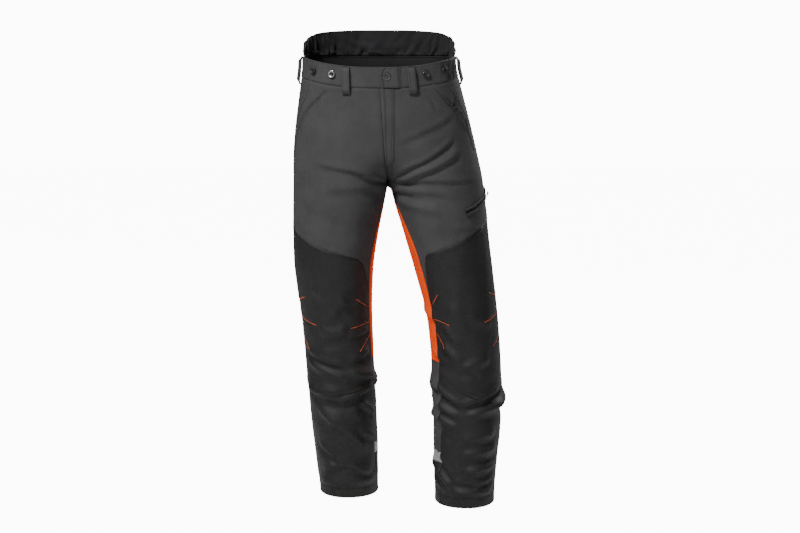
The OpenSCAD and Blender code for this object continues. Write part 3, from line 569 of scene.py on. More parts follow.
@dataclass
class Crumple:
    """Lets Blender's cloth sag down each leg, so that its spare length gathers in folds.

    Each leg hangs from the crotch over a stiff inner form. Its cloth is cut longer than the form.
    """

    outline: Outline
    columns: int = 90
    rows: int = 130
    frames: int = 22
    trust: float = 0.45
    form_depth: float = 6.5 * MM
    most_out: float = 12.0 * MM
    most_in: float = 4.4 * MM
    spare: tuple[tuple[float, float], ...] = ((-1.04, 0.080), (-0.80, 0.075), (-0.66, 0.045),
                                              (-0.52, 0.030), (-0.38, 0.012), (-0.28, 0.0))
    skin_gap: float = 1.2 * MM
    fabric: tuple[tuple[str, float], ...] = (
        ("quality", 5), ("mass", 0.03), ("tension_stiffness", 25.0), ("compression_stiffness", 25.0),
        ("shear_stiffness", 8.0), ("bending_stiffness", 0.08), ("pin_stiffness", 2.0))

    def run(self, side: Side, plan: "FoldPlan") -> Callable[[Array, Array], Array]:
        """Simulates one leg.

        Args:
            side: The leg.
            plan: The folds that the cloth starts with.

        Returns:
            A function giving how far the cloth stands out at u and z.
        """
        z = np.linspace(self.outline.hem_z, self.outline.crotch_z - 6 * MM, self.rows)
        u = np.arange(self.columns) / self.columns
        grid_u, grid_z = np.meshgrid(u, z, indexing="ij")
        start = self.outline.surface(side, grid_u, grid_z, 0.0)
        form = self._tube(f"form_{side.word}", self.outline.surface(side, grid_u, grid_z, self.form_depth))
        normal = self._outward(side, start)
        round_it = float(np.linalg.norm(np.diff(start, axis=0), axis=-1).sum(0).mean())
        folded = np.maximum(plan.set_folds(side, grid_u * round_it, grid_z, round_it), -self.most_in)
        cloth = self._tube(f"sim_{side.word}", start + normal * folded[..., None])
        self._set_up(cloth, form, start, z)
        scene = bpy.context.scene
        for frame_number in range(1, self.frames + 1):
            scene.frame_set(frame_number)
        done = cloth.evaluated_get(bpy.context.evaluated_depsgraph_get())
        places = np.zeros(len(done.data.vertices) * 3)
        done.data.vertices.foreach_get("co", places)
        moved = places.reshape(self.columns, self.rows, 3) - start
        scene.frame_set(1)
        for obj in (cloth, form):
            mesh = obj.data
            bpy.data.objects.remove(obj)
            bpy.data.meshes.remove(mesh)
        return self._reader(side, start, moved, z)

    @staticmethod
    def _outward(side: Side, places: Array) -> Array:
        """Unit normals of a tube's lattice, outwards."""
        around = np.roll(places, -1, 0) - np.roll(places, 1, 0)
        normal = np.cross(around, np.gradient(places, axis=1)) * side.value
        return normal / np.linalg.norm(normal, axis=-1, keepdims=True)

    def _tube(self, name: str, places: Array) -> bpy.types.Object:
        """A closed tube of quads through a lattice of places, as an object."""
        bm = bmesh.new()
        bmesh.ops.create_grid(bm, x_segments=self.columns, y_segments=self.rows - 1, size=1.0)
        for vert in bm.verts:
            i = round((vert.co.x + 1) / 2 * self.columns) % self.columns
            j = round((vert.co.y + 1) / 2 * (self.rows - 1))
            vert.co = places[i, j]
        bmesh.ops.remove_doubles(bm, verts=bm.verts, dist=1e-6)
        tree = KDTree(self.columns * self.rows)
        for k, spot in enumerate(places.reshape(-1, 3)):
            tree.insert(spot, k)
        tree.balance()
        for vert in bm.verts:
            vert.index = tree.find(vert.co)[1]
        bm.verts.sort()
        bmesh.ops.recalc_face_normals(bm, faces=bm.faces)
        return link(name, mesh_of(name, bm))

    def _set_up(self, cloth: bpy.types.Object, form: bpy.types.Object, start: Array,
                z: Array) -> None:
        """Gives the cloth its spare length, its held ends and its stiffness."""
        keys = np.array(self.spare)
        stretch = 1 + np.interp(z, keys[:, 0], keys[:, 1])
        middle = (z[1:] + z[:-1]) / 2
        steps = np.diff(z) * (1 + np.interp(middle, keys[:, 0], keys[:, 1]))
        longer = z[-1] - np.r_[np.cumsum(steps[::-1])[::-1], 0.0]
        rest = start.copy()
        rest[..., 2] = longer
        centre = start.mean(0, keepdims=True)
        rest[..., :2] = centre[..., :2] + (start[..., :2] - centre[..., :2]) * (
            1 + 0.35 * (stretch - 1))[None, :, None]
        cloth.shape_key_add(name="Basis")
        key = cloth.shape_key_add(name="rest")
        key.data.foreach_set("co", rest.reshape(-1))
        key.value = 0.0
        group = cloth.vertex_groups.new(name="held")
        hold = np.maximum(ease((z - (z[-1] - 0.05)) / 0.05), 1 - ease((z - z[0]) / 0.012))
        for j, weight in enumerate(hold):
            if weight > 0.01:
                group.add([i * self.rows + j for i in range(self.columns)], float(weight), "REPLACE")
        hit = form.modifiers.new("collision", "COLLISION")
        hit.settings.thickness_outer = self.skin_gap
        hit.settings.cloth_friction = 12.0
        form.collision.thickness_outer = self.skin_gap
        modifier = cloth.modifiers.new("cloth", "CLOTH")
        for setting, value in self.fabric:
            setattr(modifier.settings, setting, value)
        modifier.settings.vertex_group_mass = "held"
        modifier.settings.rest_shape_key = cloth.data.shape_keys.key_blocks["rest"]
        modifier.collision_settings.collision_quality = 2
        modifier.collision_settings.distance_min = self.skin_gap
        modifier.collision_settings.use_self_collision = False
        modifier.point_cache.frame_start = 1
        modifier.point_cache.frame_end = self.frames

    def _reader(self, side: Side, start: Array, moved: Array,
                z: Array) -> Callable[[Array, Array], Array]:
        """Turns the moves into outward heights, smoothed and capped."""
        out = (moved * self._outward(side, start)).sum(-1)
        out = np.where(np.isfinite(out), out, 0.0)
        out = blur(blur(out, 0.7, 0, wrap=True), 0.7, 1)
        LOG.info("cloth %s: out %.1f to %.1f mm, spread %.2f mm", side.word, out.min() / MM,
                 out.max() / MM, out.std() / MM)
        out = np.where(out > 0, self.most_out * np.tanh(out / self.most_out),
                       self.most_in * np.tanh(out / self.most_in))
        table = np.concatenate([out, out[:1]], 0)

        def read(u: Array, height: Array) -> Array:
            """The outward height at u and z."""
            i = np.clip(np.mod(u, 1.0) * self.columns, 0, self.columns - SHORT_OF_END)
            i = np.where(u >= 1.0, self.columns - SHORT_OF_END, i)
            j = np.clip((height - z[0]) / (z[1] - z[0]), 0, self.rows - 1 - SHORT_OF_END)
            return bilinear(table, i, j) * ease((z[-1] - height) / 0.05)
        return read


# ---------------------------------------------------------------- finishes


class Shader:
    """A node tree being filled in: adds nodes and joins their sockets."""

    def __init__(self, tree: bpy.types.NodeTree) -> None:
        """Empties the tree."""
        self.tree = tree
        tree.nodes.clear()

    def node(self, kind: str, settings: dict | None = None, **inputs: object) -> bpy.types.Node:
        """Adds a node.

        Args:
            kind: The node's type name, without its ShaderNode prefix.
            settings: The node's own properties.
            inputs: Values or sockets for its inputs, their names with _ for a space.

        Returns:
            The node.
        """
        made = self.tree.nodes.new(f"ShaderNode{kind}")
        for name, value in (settings or {}).items():
            setattr(made, name, value)
        for name, value in inputs.items():
            self.feed(made.inputs[name.replace("_", " ")], value)
        return made

    def feed(self, socket: bpy.types.NodeSocket, value: object) -> None:
        """Joins a socket to another, or sets its value."""
        if isinstance(value, bpy.types.NodeSocket):
            self.tree.links.new(value, socket)
        else:
            socket.default_value = value

    def math(self, operation: str, *values: object, clamp: bool = False) -> bpy.types.NodeSocket:
        """A Math node's result."""
        made = self.node("Math", {"operation": operation, "use_clamp": clamp})
        for socket, value in zip(made.inputs, values):
            self.feed(socket, value)
        return made.outputs[0]

    def mix_colour(self, share: object, a: object, b: object) -> bpy.types.NodeSocket:
        """The mix of two colours."""
        made = self.node("Mix", {"data_type": "RGBA"})
        for socket, value in ((made.inputs[0], share), (made.inputs[6], a), (made.inputs[7], b)):
            self.feed(socket, value)
        return made.outputs[2]

    def spread(self, value: object, low: float, high: float, to_low: float = 0.0,
               to_high: float = 1.0) -> bpy.types.NodeSocket:
        """A value's range mapped softly onto another."""
        made = self.node("MapRange", {"interpolation_type": "SMOOTHSTEP"})
        for socket, number in zip(made.inputs, (value, low, high, to_low, to_high)):
            self.feed(socket, number)
        return made.outputs[0]


class Effects:
    """Shader node groups that several finishes share, each built once."""

    def __init__(self) -> None:
        """Builds the groups."""
        self.weave = self._weave()
        self.blotches = self._blotches()
        self.dust = self._dust()
        self.scuffs = self._scuffs()

    @staticmethod
    def _group(name: str, inputs: dict[str, tuple[str, object]], outputs: Sequence[str]) -> tuple:
        """A new group with its sockets, its shader and its two end nodes."""
        tree = bpy.data.node_groups.new(name, "ShaderNodeTree")
        for label, (kind, default) in inputs.items():
            socket = tree.interface.new_socket(label, in_out="INPUT", socket_type=kind)
            if default is not None:
                socket.default_value = default
        for label in outputs:
            tree.interface.new_socket(label, in_out="OUTPUT", socket_type="NodeSocketFloat")
        shader = Shader(tree)
        return tree, shader, tree.nodes.new("NodeGroupInput"), tree.nodes.new("NodeGroupOutput")

    def _weave(self) -> bpy.types.NodeTree:
        """Threads over and under each other, on a vector in metres, with a mask of painted shade for the gaps
        between them.
        """
        tree, sh, given, result = self._group(
            "weave", {"Vector": ("NodeSocketVector", None), "Pitch": ("NodeSocketFloat", 0.001)},
            ("Height", "Gaps"))
        scale = sh.math("DIVIDE", math.pi / 10, given.outputs["Pitch"])
        bands = [sh.node("TexWave", {"wave_type": "BANDS", "bands_direction": axis},
                         Vector=given.outputs["Vector"], Scale=scale, Distortion=0.6,
                         Detail=1.0, Detail_Scale=2.0).outputs["Fac"] for axis in ("X", "Y", "DIAGONAL")]
        plain = sh.math("MULTIPLY", bands[0], bands[1])
        height = sh.math("ADD", sh.math("MULTIPLY", plain, 0.7), sh.math("MULTIPLY", bands[2], 0.3))
        sh.feed(result.inputs["Height"], height)
        # painted shade: this mask is highest in the gaps between threads
        sh.feed(result.inputs["Gaps"], sh.spread(height, 0.0, 0.35, 1.0, 0.0))
        return tree

    def _blotches(self) -> bpy.types.NodeTree:
        """Large soft patches with finer ones in them."""
        tree, sh, given, result = self._group(
            "blotches", {"Vector": ("NodeSocketVector", None), "Size": ("NodeSocketFloat", 0.05)},
            ("Value", "Fine"))
        scale = sh.math("DIVIDE", 1.0, given.outputs["Size"])
        big = sh.node("TexNoise", Vector=given.outputs["Vector"], Scale=scale, Detail=3.0, Roughness=0.55)
        fine = sh.node("TexNoise", Vector=given.outputs["Vector"], Scale=sh.math("MULTIPLY", scale, 22.0),
                       Detail=2.0, Roughness=0.6)
        sh.feed(result.inputs["Value"], sh.spread(big.outputs["Fac"], 0.3, 0.7))
        sh.feed(result.inputs["Fine"], fine.outputs["Fac"])
        return tree

    def _dust(self) -> bpy.types.NodeTree:
        """A mask of dry dust, thicker towards the hems."""
        tree, sh, given, result = self._group("dust", {"Vector": ("NodeSocketVector", None)}, ("Mask",))
        z = sh.node("SeparateXYZ", Vector=given.outputs["Vector"]).outputs["Z"]
        low = sh.spread(z, -1.05, -0.86, 1.0, 0.0)
        noise = sh.node("TexNoise", Vector=given.outputs["Vector"], Scale=34.0, Detail=5.0, Roughness=0.7)
        patchy = sh.spread(noise.outputs["Fac"], 0.42, 0.72)
        sh.feed(result.inputs["Mask"], sh.math("MULTIPLY", low, patchy))
        return tree

    def _scuffs(self) -> bpy.types.NodeTree:
        """Fine brushed scratches for metal and moulded pieces."""
        tree, sh, given, result = self._group("scuffs", {"Vector": ("NodeSocketVector", None)},
                                              ("Value", "Height"))
        stretched = sh.node("Mapping", Vector=given.outputs["Vector"], Scale=(900.0, 900.0, 5200.0))
        grain = sh.node("TexNoise", Vector=stretched.outputs[0], Scale=1.0, Detail=2.0, Roughness=0.5)
        pits = sh.node("TexVoronoi", Vector=given.outputs["Vector"], Scale=700.0)
        sh.feed(result.inputs["Value"], grain.outputs["Fac"])
        sh.feed(result.inputs["Height"], sh.math("ADD", grain.outputs["Fac"], pits.outputs["Distance"]))
        return tree


def new_material(name: str) -> tuple[bpy.types.Material, Shader]:
    """A new material, and the shader that fills its node tree."""
    material = bpy.data.materials.new(name)
    material.use_nodes = True
    return material, Shader(material.node_tree)


def srgb(*levels: float) -> tuple[float, float, float, float]:
    """A colour given as the screen's 0 to 255 levels, as the shader's linear one."""
    linear = [((c / 255 + 0.055) / 1.055) ** 2.4 if c > 10.3 else c / 255 / 12.92 for c in levels]
    return linear[0], linear[1], linear[2], 1.0


@dataclass(frozen=True)
class ClothFinish:
    """A woven or knitted cloth, its weave laid on the piece's UV map in metres."""

    slot: Slot
    colour: tuple[float, float, float, float]
    light: tuple[float, float, float, float]
    pitch: float = 0.0011
    depth: float = 0.00012
    roughness: float = 0.86
    sheen: float = 0.12
    specular: float = 0.28
    dusty: float = 0.0
    puckered: float = 0.00025

    def make(self, effects: Effects) -> bpy.types.Material:
        """Builds the material."""
        material, sh = new_material(self.slot.value)
        uv = sh.node("UVMap").outputs[0]
        place = sh.node("TexCoord").outputs["Object"]
        weave = sh.node("Group", {"node_tree": effects.weave}, Vector=uv, Pitch=self.pitch)
        blotch = sh.node("Group", {"node_tree": effects.blotches}, Vector=place, Size=0.06)
        colour = sh.mix_colour(blotch.outputs["Value"], self.colour, self.light)
        # painted shade: the weave's gaps between threads are darkened towards black
        colour = sh.mix_colour(sh.math("MULTIPLY", weave.outputs["Gaps"], 0.45), colour,
                               (0.004, 0.004, 0.004, 1.0))
        if self.dusty > 0:
            dust = sh.node("Group", {"node_tree": effects.dust}, Vector=place)
            colour = sh.mix_colour(sh.math("MULTIPLY", dust.outputs["Mask"], self.dusty), colour,
                                   srgb(120, 112, 100))
        rough = sh.spread(blotch.outputs["Fine"], 0.0, 1.0, self.roughness - 0.06, self.roughness + 0.06)
        soft = sh.node("Bump", Height=blotch.outputs["Fine"], Distance=self.puckered, Strength=0.5)
        bump = sh.node("Bump", Height=weave.outputs["Height"], Distance=self.depth, Strength=0.8,
                       Normal=soft.outputs[0])
        skin = sh.node("BsdfPrincipled", Base_Color=colour, Roughness=rough, Normal=bump.outputs[0],
                       Sheen_Weight=self.sheen, Sheen_Roughness=0.4, Specular_IOR_Level=self.specular)
        sh.feed(sh.node("OutputMaterial").inputs["Surface"], skin.outputs[0])
        return material


@dataclass(frozen=True)
class HardFinish:
    """Metal or moulded plastic, brushed and a little scratched."""

    slot: Slot
    colour: tuple[float, float, float, float]
    worn: tuple[float, float, float, float]
    metallic: float = 1.0
    roughness: float = 0.35
    coat: float = 0.0

    def make(self, effects: Effects) -> bpy.types.Material:
        """Builds the material."""
        material, sh = new_material(self.slot.value)
        place = sh.node("TexCoord").outputs["Object"]
        scuff = sh.node("Group", {"node_tree": effects.scuffs}, Vector=place)
        blotch = sh.node("Group", {"node_tree": effects.blotches}, Vector=place, Size=0.006)
        colour = sh.mix_colour(blotch.outputs["Value"], self.colour, self.worn)
        rough = sh.spread(scuff.outputs["Value"], 0.2, 0.8, self.roughness - 0.1, self.roughness + 0.14)
        bump = sh.node("Bump", Height=scuff.outputs["Height"], Distance=0.00003, Strength=0.4)
        skin = sh.node("BsdfPrincipled", Base_Color=colour, Roughness=rough, Normal=bump.outputs[0],
                       Metallic=self.metallic, Coat_Weight=self.coat)
        sh.feed(sh.node("OutputMaterial").inputs["Surface"], skin.outputs[0])
        return material


FINISHES: tuple[ClothFinish | HardFinish, ...] = (
    ClothFinish(Slot.GREY, srgb(60, 60, 61), srgb(66, 66, 67), 0.0010, 0.00010, 0.80, 0.0, 0.25),
    ClothFinish(Slot.BLACK, srgb(17, 17, 17), srgb(22, 22, 22), 0.0014, 0.00022, 0.60, 0.0, 0.40, 0.05),
    ClothFinish(Slot.ORANGE, srgb(255, 72, 0), srgb(255, 82, 0), 0.0010, 0.00010, 0.85, 0.0, 0.1),
    ClothFinish(Slot.LINING, srgb(70, 70, 72), srgb(80, 80, 82), 0.0018, 0.00020, 0.9, 0.2, 0.2),
    ClothFinish(Slot.DARK_LINING, srgb(17, 17, 18), srgb(23, 23, 24), 0.0013, 0.00012, 0.62, 0.0, 0.35),
    ClothFinish(Slot.FIBRE, srgb(205, 196, 160), srgb(220, 212, 180), 0.0030, 0.00040, 0.92, 0.2, 0.2),
    ClothFinish(Slot.THREAD, srgb(225, 84, 24), srgb(238, 104, 40), 0.0006, 0.00010, 0.6, 0.2, 0.4),
    ClothFinish(Slot.SILVER, srgb(150, 152, 155), srgb(168, 170, 172), 0.0012, 0.00006, 0.42, 0.0, 0.6, 0.12),
    ClothFinish(Slot.ELASTIC, srgb(30, 30, 31), srgb(38, 38, 40), 0.0022, 0.00040, 0.85, 0.1, 0.25),
    HardFinish(Slot.GUNMETAL, srgb(168, 168, 170), srgb(196, 196, 198), 1.0, 0.30),
    HardFinish(Slot.ZIP_METAL, srgb(96, 96, 98), srgb(140, 140, 142), 1.0, 0.32),
    ClothFinish(Slot.ZIP_TAPE, srgb(18, 18, 19), srgb(24, 24, 25), 0.0009, 0.00015, 0.85, 0.1, 0.25),
    HardFinish(Slot.MOULDED, srgb(20, 20, 21), srgb(30, 30, 31), 0.0, 0.45, 0.1),
)


# ---------------------------------------------------------------- the tailor


PlaceMap = Callable[[Array, Array], Pair]
LiftMap = Callable[[Array, Array, Array, Array], Array]


def no_lift(s: Array, t: Array, u: Array, z: Array) -> Array:
    """Cloth that lies on the skin."""
    return np.zeros_like(s + t)


@dataclass(frozen=True)
class Rider:
    """What a piece moves with: one body, or two bodies and two points; a piece with two bodies is not bent
    between them.
    """

    body: str
    second: str = ""
    start: tuple[float, float, float] = (0.0, 0.0, 0.0)
    end: tuple[float, float, float] = (0.0, 0.0, 0.0)

    def take(self, obj: bpy.types.Object) -> None:
        """Makes a finished piece move with its one body; with two bodies, it only bakes the piece's
        transform.
        """
        if self.second:
            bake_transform(obj)
        else:
            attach(obj, self.body)


@dataclass
class Tailor:
    """Cuts cloth on the skin and adds finished pieces to the scene."""

    materials: dict[Slot, bpy.types.Material]
    least_sheet: float = 10 * MM

    def add(self, name: str, bm: bmesh.types.BMesh, slot: Slot, smooth: bool = True) -> bpy.types.Object:
        """Turns a bmesh into a piece with its finish.

        Args:
            name: The piece's name.
            bm: The mesh, which is freed.
            slot: The material slot of its finish.
            smooth: Whether its faces shade smoothly.

        Returns:
            The new object.
        """
        mesh = mesh_of(name, bm)
        mesh.polygons.foreach_set("use_smooth", [smooth] * len(mesh.polygons))
        mesh.materials.append(self.materials[slot])
        obj = link(name, mesh)
        LOG.info("%s: %d faces", name, len(mesh.polygons))
        return obj

    def grid(self, columns: Array, rows: Array,
             shape: Callable[[Array, Array], Array],
             outward: Callable[[Array, Array], Array] | None = None,
             close: bool = False) -> bmesh.types.BMesh:
        """A sheet of quads through computed places, its UV map in metres.

        Args:
            columns: Shares from 0 to 1 across the sheet.
            rows: Shares from 0 to 1 up the sheet.
            shape: Gives a place for every pair of shares.
            outward: Gives the same sheet moved a little outwards, to turn its faces that way.
            close: Whether doubled places at the sheet's ends are merged.

        Returns:
            The mesh.
        """
        bm = bmesh.new()
        m, n = len(columns) - 1, len(rows) - 1
        bmesh.ops.create_grid(bm, x_segments=m, y_segments=n, size=1.0, calc_uvs=True)
        s, t = np.meshgrid(columns, rows, indexing="ij")
        places = shape(s, t)
        across = np.linalg.norm(np.diff(places, axis=0), axis=-1).mean(1)
        up = np.linalg.norm(np.diff(places, axis=1), axis=-1).mean(0)
        flat_u, flat_v = np.r_[0.0, np.cumsum(across)], np.r_[0.0, np.cumsum(up)]
        layer = bm.loops.layers.uv.verify()
        spots = {}
        for vert in bm.verts:
            i, j = round((vert.co.x + 1) / 2 * m), round((vert.co.y + 1) / 2 * n)
            spots[vert.index] = (float(flat_u[i]), float(flat_v[j]))
            vert.co = places[i, j]
        for face in bm.faces:
            for loop in face.loops:
                loop[layer].uv = spots[loop.vert.index]
        if outward is not None:
            off = outward(s, t) - places
            normal = np.cross(np.gradient(places, axis=0), np.gradient(places, axis=1))
            if (off * normal).sum() < 0:
                bmesh.ops.reverse_faces(bm, faces=bm.faces)
        if close:
            bmesh.ops.remove_doubles(bm, verts=bm.verts, dist=2e-6)
            bmesh.ops.recalc_face_normals(bm, faces=bm.faces)
        return bm

    def cloth(self, name: str, locate: Locator, place: PlaceMap, columns: Array, rows: Array,
              slot: Slot, rider: Rider, lift: LiftMap = no_lift, thick: float = 1.2 * MM,
              bevel: float = 0.0) -> bpy.types.Object:
        """A piece of cloth laid on the skin, with its thickness inwards.

        Args:
            name: The piece's name.
            locate: Where u, z and lift are in space.
            place: Gives u and z for shares across and up the piece.
            columns: Shares across.
            rows: Shares up.
            slot: The finish.
            rider: What it moves with.
            lift: How far it stands off the skin.
            thick: Its thickness.
            bevel: The rounding of its edges.

        Returns:
            The piece.
        """
        def shape(s: Array, t: Array, more: float = 0.0) -> Array:
            """The outer face."""
            u, z = place(s, t)
            return locate(u, z, lift(s, t, u, z) + more)

        bm = self.grid(columns, rows, shape, lambda s, t: shape(s, t, MM))
        obj = self.add(name, bm, slot)
        self.thicken(obj, thick, bevel)
        rider.take(obj)
        return obj

    @staticmethod
    def thicken(obj: bpy.types.Object, thick: float, bevel: float = 0.0) -> None:
        """Gives a sheet its thickness, inwards, and rounds its edges."""
        wall = obj.modifiers.new("thickness", "SOLIDIFY")
        wall.thickness = thick
        wall.offset = -1.0
        wall.use_even_offset = False
        if bevel > 0:
            edge = obj.modifiers.new("edges", "BEVEL")
            edge.width = bevel
            edge.segments = 2
            edge.limit_method = "ANGLE"
            edge.angle_limit = math.radians(50)

    def declare(self, obj: bpy.types.Object, held: str, rests_on: Sequence[str]) -> None:
        """Logs a sheet's own flat size, measured along the cloth, and its area. Narrower tapes are left out.

        Args:
            obj: The sheet.
            held: How it is held. Not used.
            rests_on: The pieces or nodes it is sewn to. Not used.
        """
        mesh = obj.data
        layer = mesh.uv_layers.active.data
        spots = np.zeros(len(layer) * 2)
        layer.foreach_get("uv", spots)
        size = spots.reshape(-1, 2).max(0) - spots.reshape(-1, 2).min(0)
        if size.min() < self.least_sheet:
            return
        area = sum(face.area for face in mesh.polygons)
        area = min(area, float(size[0] * size[1]))
        LOG.info("sheet %s: %.0f x %.0f mm, %.4f m2", obj.name, size[0] / MM, size[1] / MM, area)


def crowded(length: float, spacing: float, edge: Sequence[float] = (1.0, 2.2, 4.0, 7.0, 10.5)) -> Array:
    """Shares from 0 to 1, close together near both ends.

    Args:
        length: The cloth's length that way, in metres.
        spacing: The usual distance between lines.
        edge: Distances of the first lines from each end, in millimetres.

    Returns:
        The shares.
    """
    near = np.array(edge) * MM / length
    near = near[near < 0.4]
    last = near[-1] if len(near) else 0.0
    count = max(2, int(round((1 - 2 * last) * length / spacing)))
    middle = np.linspace(last, 1 - last, count + 1)
    return np.unique(np.r_[0.0, near, middle, 1 - near, 1.0].round(9))


SEAM_WIDE, PUFF_AT, PUFF_WIDE = 1.6 * MM, 6 * MM, 3.2 * MM


def seam_dip(distance: Array, deep: float = 0.9 * MM, puff: float = 0.45 * MM) -> Array:
    """How cloth sinks into a sewn edge and swells beside it, by the distance from the edge."""
    dip = deep * np.exp(-(distance / SEAM_WIDE) ** 2)
    return -dip + puff * np.exp(-((distance - PUFF_AT) / PUFF_WIDE) ** 2)


# ---------------------------------------------------------------- stitching


@dataclass
class Stitching:
    """Rows of thread, gathered by finish and by what they move with."""

    tailor: Tailor
    batch: int = 60
    sides: int = 5
    shortest: float = 0.01 * MM
    runs: dict[tuple[str, Slot], tuple[Rider, list[bpy.types.Mesh]]] = field(default_factory=dict)

    def row(self, group: str, slot: Slot, rider: Rider, path: Array, pitch: float = 3.6 * MM,
            length: float = 2.6 * MM, radius: float = 0.32 * MM) -> None:
        """Sews a row of stitches along a path.

        Args:
            group: The name of the piece that they are joined into.
            slot: The thread's finish.
            rider: What they move with.
            path: Places along the row.
            pitch: The distance from stitch to stitch.
            length: A stitch's length.
            radius: The thread's radius.
        """
        steps = np.r_[0.0, np.cumsum(np.linalg.norm(np.diff(path, axis=0), axis=1))]
        centres = np.arange(pitch / 2, steps[-1] - pitch / 2, pitch)
        ends = [np.stack([np.interp(centres + side * length / 2, steps, path[:, k]) for k in range(3)], 1)
                for side in (-1, 1)]
        self.bars(group, slot, rider, ends[0], ends[1], radius)

    def bars(self, group: str, slot: Slot, rider: Rider, starts: Array, stops: Array,
             radius: float) -> None:
        """Adds one thread from each start to its stop."""
        for first in range(0, len(starts), self.batch):
            bm = bmesh.new()
            for a, b in zip(starts[first:first + self.batch], stops[first:first + self.batch]):
                line = Vector(b - a)
                if line.length < self.shortest:
                    continue
                turn = line.to_track_quat("Z", "Y").to_matrix().to_4x4()
                bmesh.ops.create_cone(bm, cap_ends=True, segments=self.sides, radius1=radius, radius2=radius,
                                      depth=line.length, matrix=Matrix.Translation((a + b) / 2) @ turn)
            self.runs.setdefault((group, slot), (rider, []))[1].append(mesh_of("run", bm))

    def finish(self) -> None:
        """Joins the rows of each group into one piece."""
        for (group, slot), (rider, meshes) in self.runs.items():
            bm = bmesh.new()
            for mesh in meshes:
                bm.from_mesh(mesh)
                bpy.data.meshes.remove(mesh)
            layer = bm.loops.layers.uv.verify()
            for face in bm.faces:
                for loop in face.loops:
                    loop[layer].uv = (loop.vert.co.x + loop.vert.co.y, loop.vert.co.z)
            obj = self.tailor.add(group, bm, slot)
            rider.take(obj)
        self.runs.clear()


# ---------------------------------------------------------------- the garment's layout


@dataclass
class Layout:
    """Heights read from the frame, and the edges of the panels on each leg."""

    side_seam: float = 0.515
    inner_back: float = 0.17
    front_lean: dict[Side, float] = field(default_factory=lambda: {Side.LEFT: 0.1, Side.RIGHT: 0.06})
    thigh_corner: dict[Side, tuple[float, float]] = field(
        default_factory=lambda: {Side.LEFT: (0.14, 0.105), Side.RIGHT: (0.2, 0.075)})
    thigh_inner: dict[Side, float] = field(default_factory=lambda: {Side.LEFT: 0.446, Side.RIGHT: 0.460})
    thigh_outer: dict[Side, float] = field(default_factory=lambda: {Side.LEFT: 0.342, Side.RIGHT: 0.370})
    knee_low: float = 0.778
    knee: float = -0.6
    blend_top: float = -0.48
    blend_low: float = -0.73
    inner_opens: float = 0.190

    def __post_init__(self) -> None:
        """Reads the heights."""
        def span(node: str) -> tuple[float, float]:
            """The heights of a node's foot and top."""
            low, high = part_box(node)
            return low.z, high.z

        self.hem = span("heel_panel_left")[0]
        self.crotch = span("inner_thigh_panel_left")[1] + 3 * MM
        self.band_low = span("waistband_left")[0]
        self.rise = span("waistband_back")[1]
        self.guard_top = span("guard_binding")[1]
        self.knee_back = span("knee_back_panel_left")
        self.strip = span("reflective_strip_left")
        self.hem_fold = span("hem_facing_left")[1]
        self.insert = span("cut_protection_left")
        self.lining = span("leg_lining_left")

    def inseam_share(self, z: Array) -> Array:
        """How far the inner panel has opened out at a height."""
        return np.sin(math.pi / 2 * np.clip((self.crotch - z) / self.inner_opens, 0, 1))

    def front_edge(self, side: Side, z: Array) -> Array:
        """The u of the inner panel's front seam."""
        return self.front_lean[side] * self.inseam_share(z)

    def back_edge(self, z: Array) -> Array:
        """The u of the inner panel's rear seam."""
        return 1 - self.inner_back * self.inseam_share(z)

    def thigh_cut(self, side: Side, s: Array) -> Array:
        """The height of the knee panel's upper seam."""
        corner, deep = self.thigh_corner[side]
        return (-mix(self.thigh_inner[side], self.thigh_outer[side], np.clip(s, 0, 1) ** 1.3)
                - deep * np.maximum(0, 1 - s / corner) ** 2)

    def knee_cut(self, side: Side, s: Array) -> Array:
        """The height of the knee panel's lower seam."""
        bow = np.sin(math.pi * np.clip(s, 0, 1))
        if side is Side.LEFT:
            return -self.knee_low + mix(0.063, 0.027, s) - 0.045 * bow
        return -self.knee_low + mix(0.028, 0.021, s) - 0.025 * bow

    def band_top(self, w: Array) -> Array:
        """The band's upper edge round the body's ring."""
        w = np.mod(w + 0.5, 2.0) - 0.5
        return self.rise * np.where(np.abs(w) < 0.5, np.sin(math.pi * w) ** 2, 1.0)

    def band_bottom(self, w: Array) -> Array:
        """The band's lower edge round the body's ring."""
        return self.band_top(w) + self.band_low

    def guard_edge(self, w: Array) -> Array:
        """The back guard's upper edge: a straight run with rounded ends."""
        share = np.abs(np.mod(w, 2.0) - 1.0) / (1 - self.side_seam)
        corner = np.clip((share - 0.40) / 0.60, 0, 1)
        swell = 1.08 - 0.15 * np.clip(share / 0.7, 0, 1) ** 1.6
        return self.rise + 2 * MM + (self.guard_top - self.rise - 2 * MM) * swell * np.maximum(
            0, 1 - 0.96 * corner ** 2.6) ** 0.5

    def leg_rider(self, side: Side) -> Rider:
        """The rider for cloth that crosses a knee: the trousers and the shin, with two points through the
        knee panel's middle.
        """
        low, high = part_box(f"knee_panel_{side.word}")
        x, y = (low.x + high.x) / 2, (low.y + high.y) / 2
        return Rider("trousers", side.shin, (x, y, self.blend_top), (x, y, self.blend_low))


ROOT = Rider("trousers")


# ---------------------------------------------------------------- legs


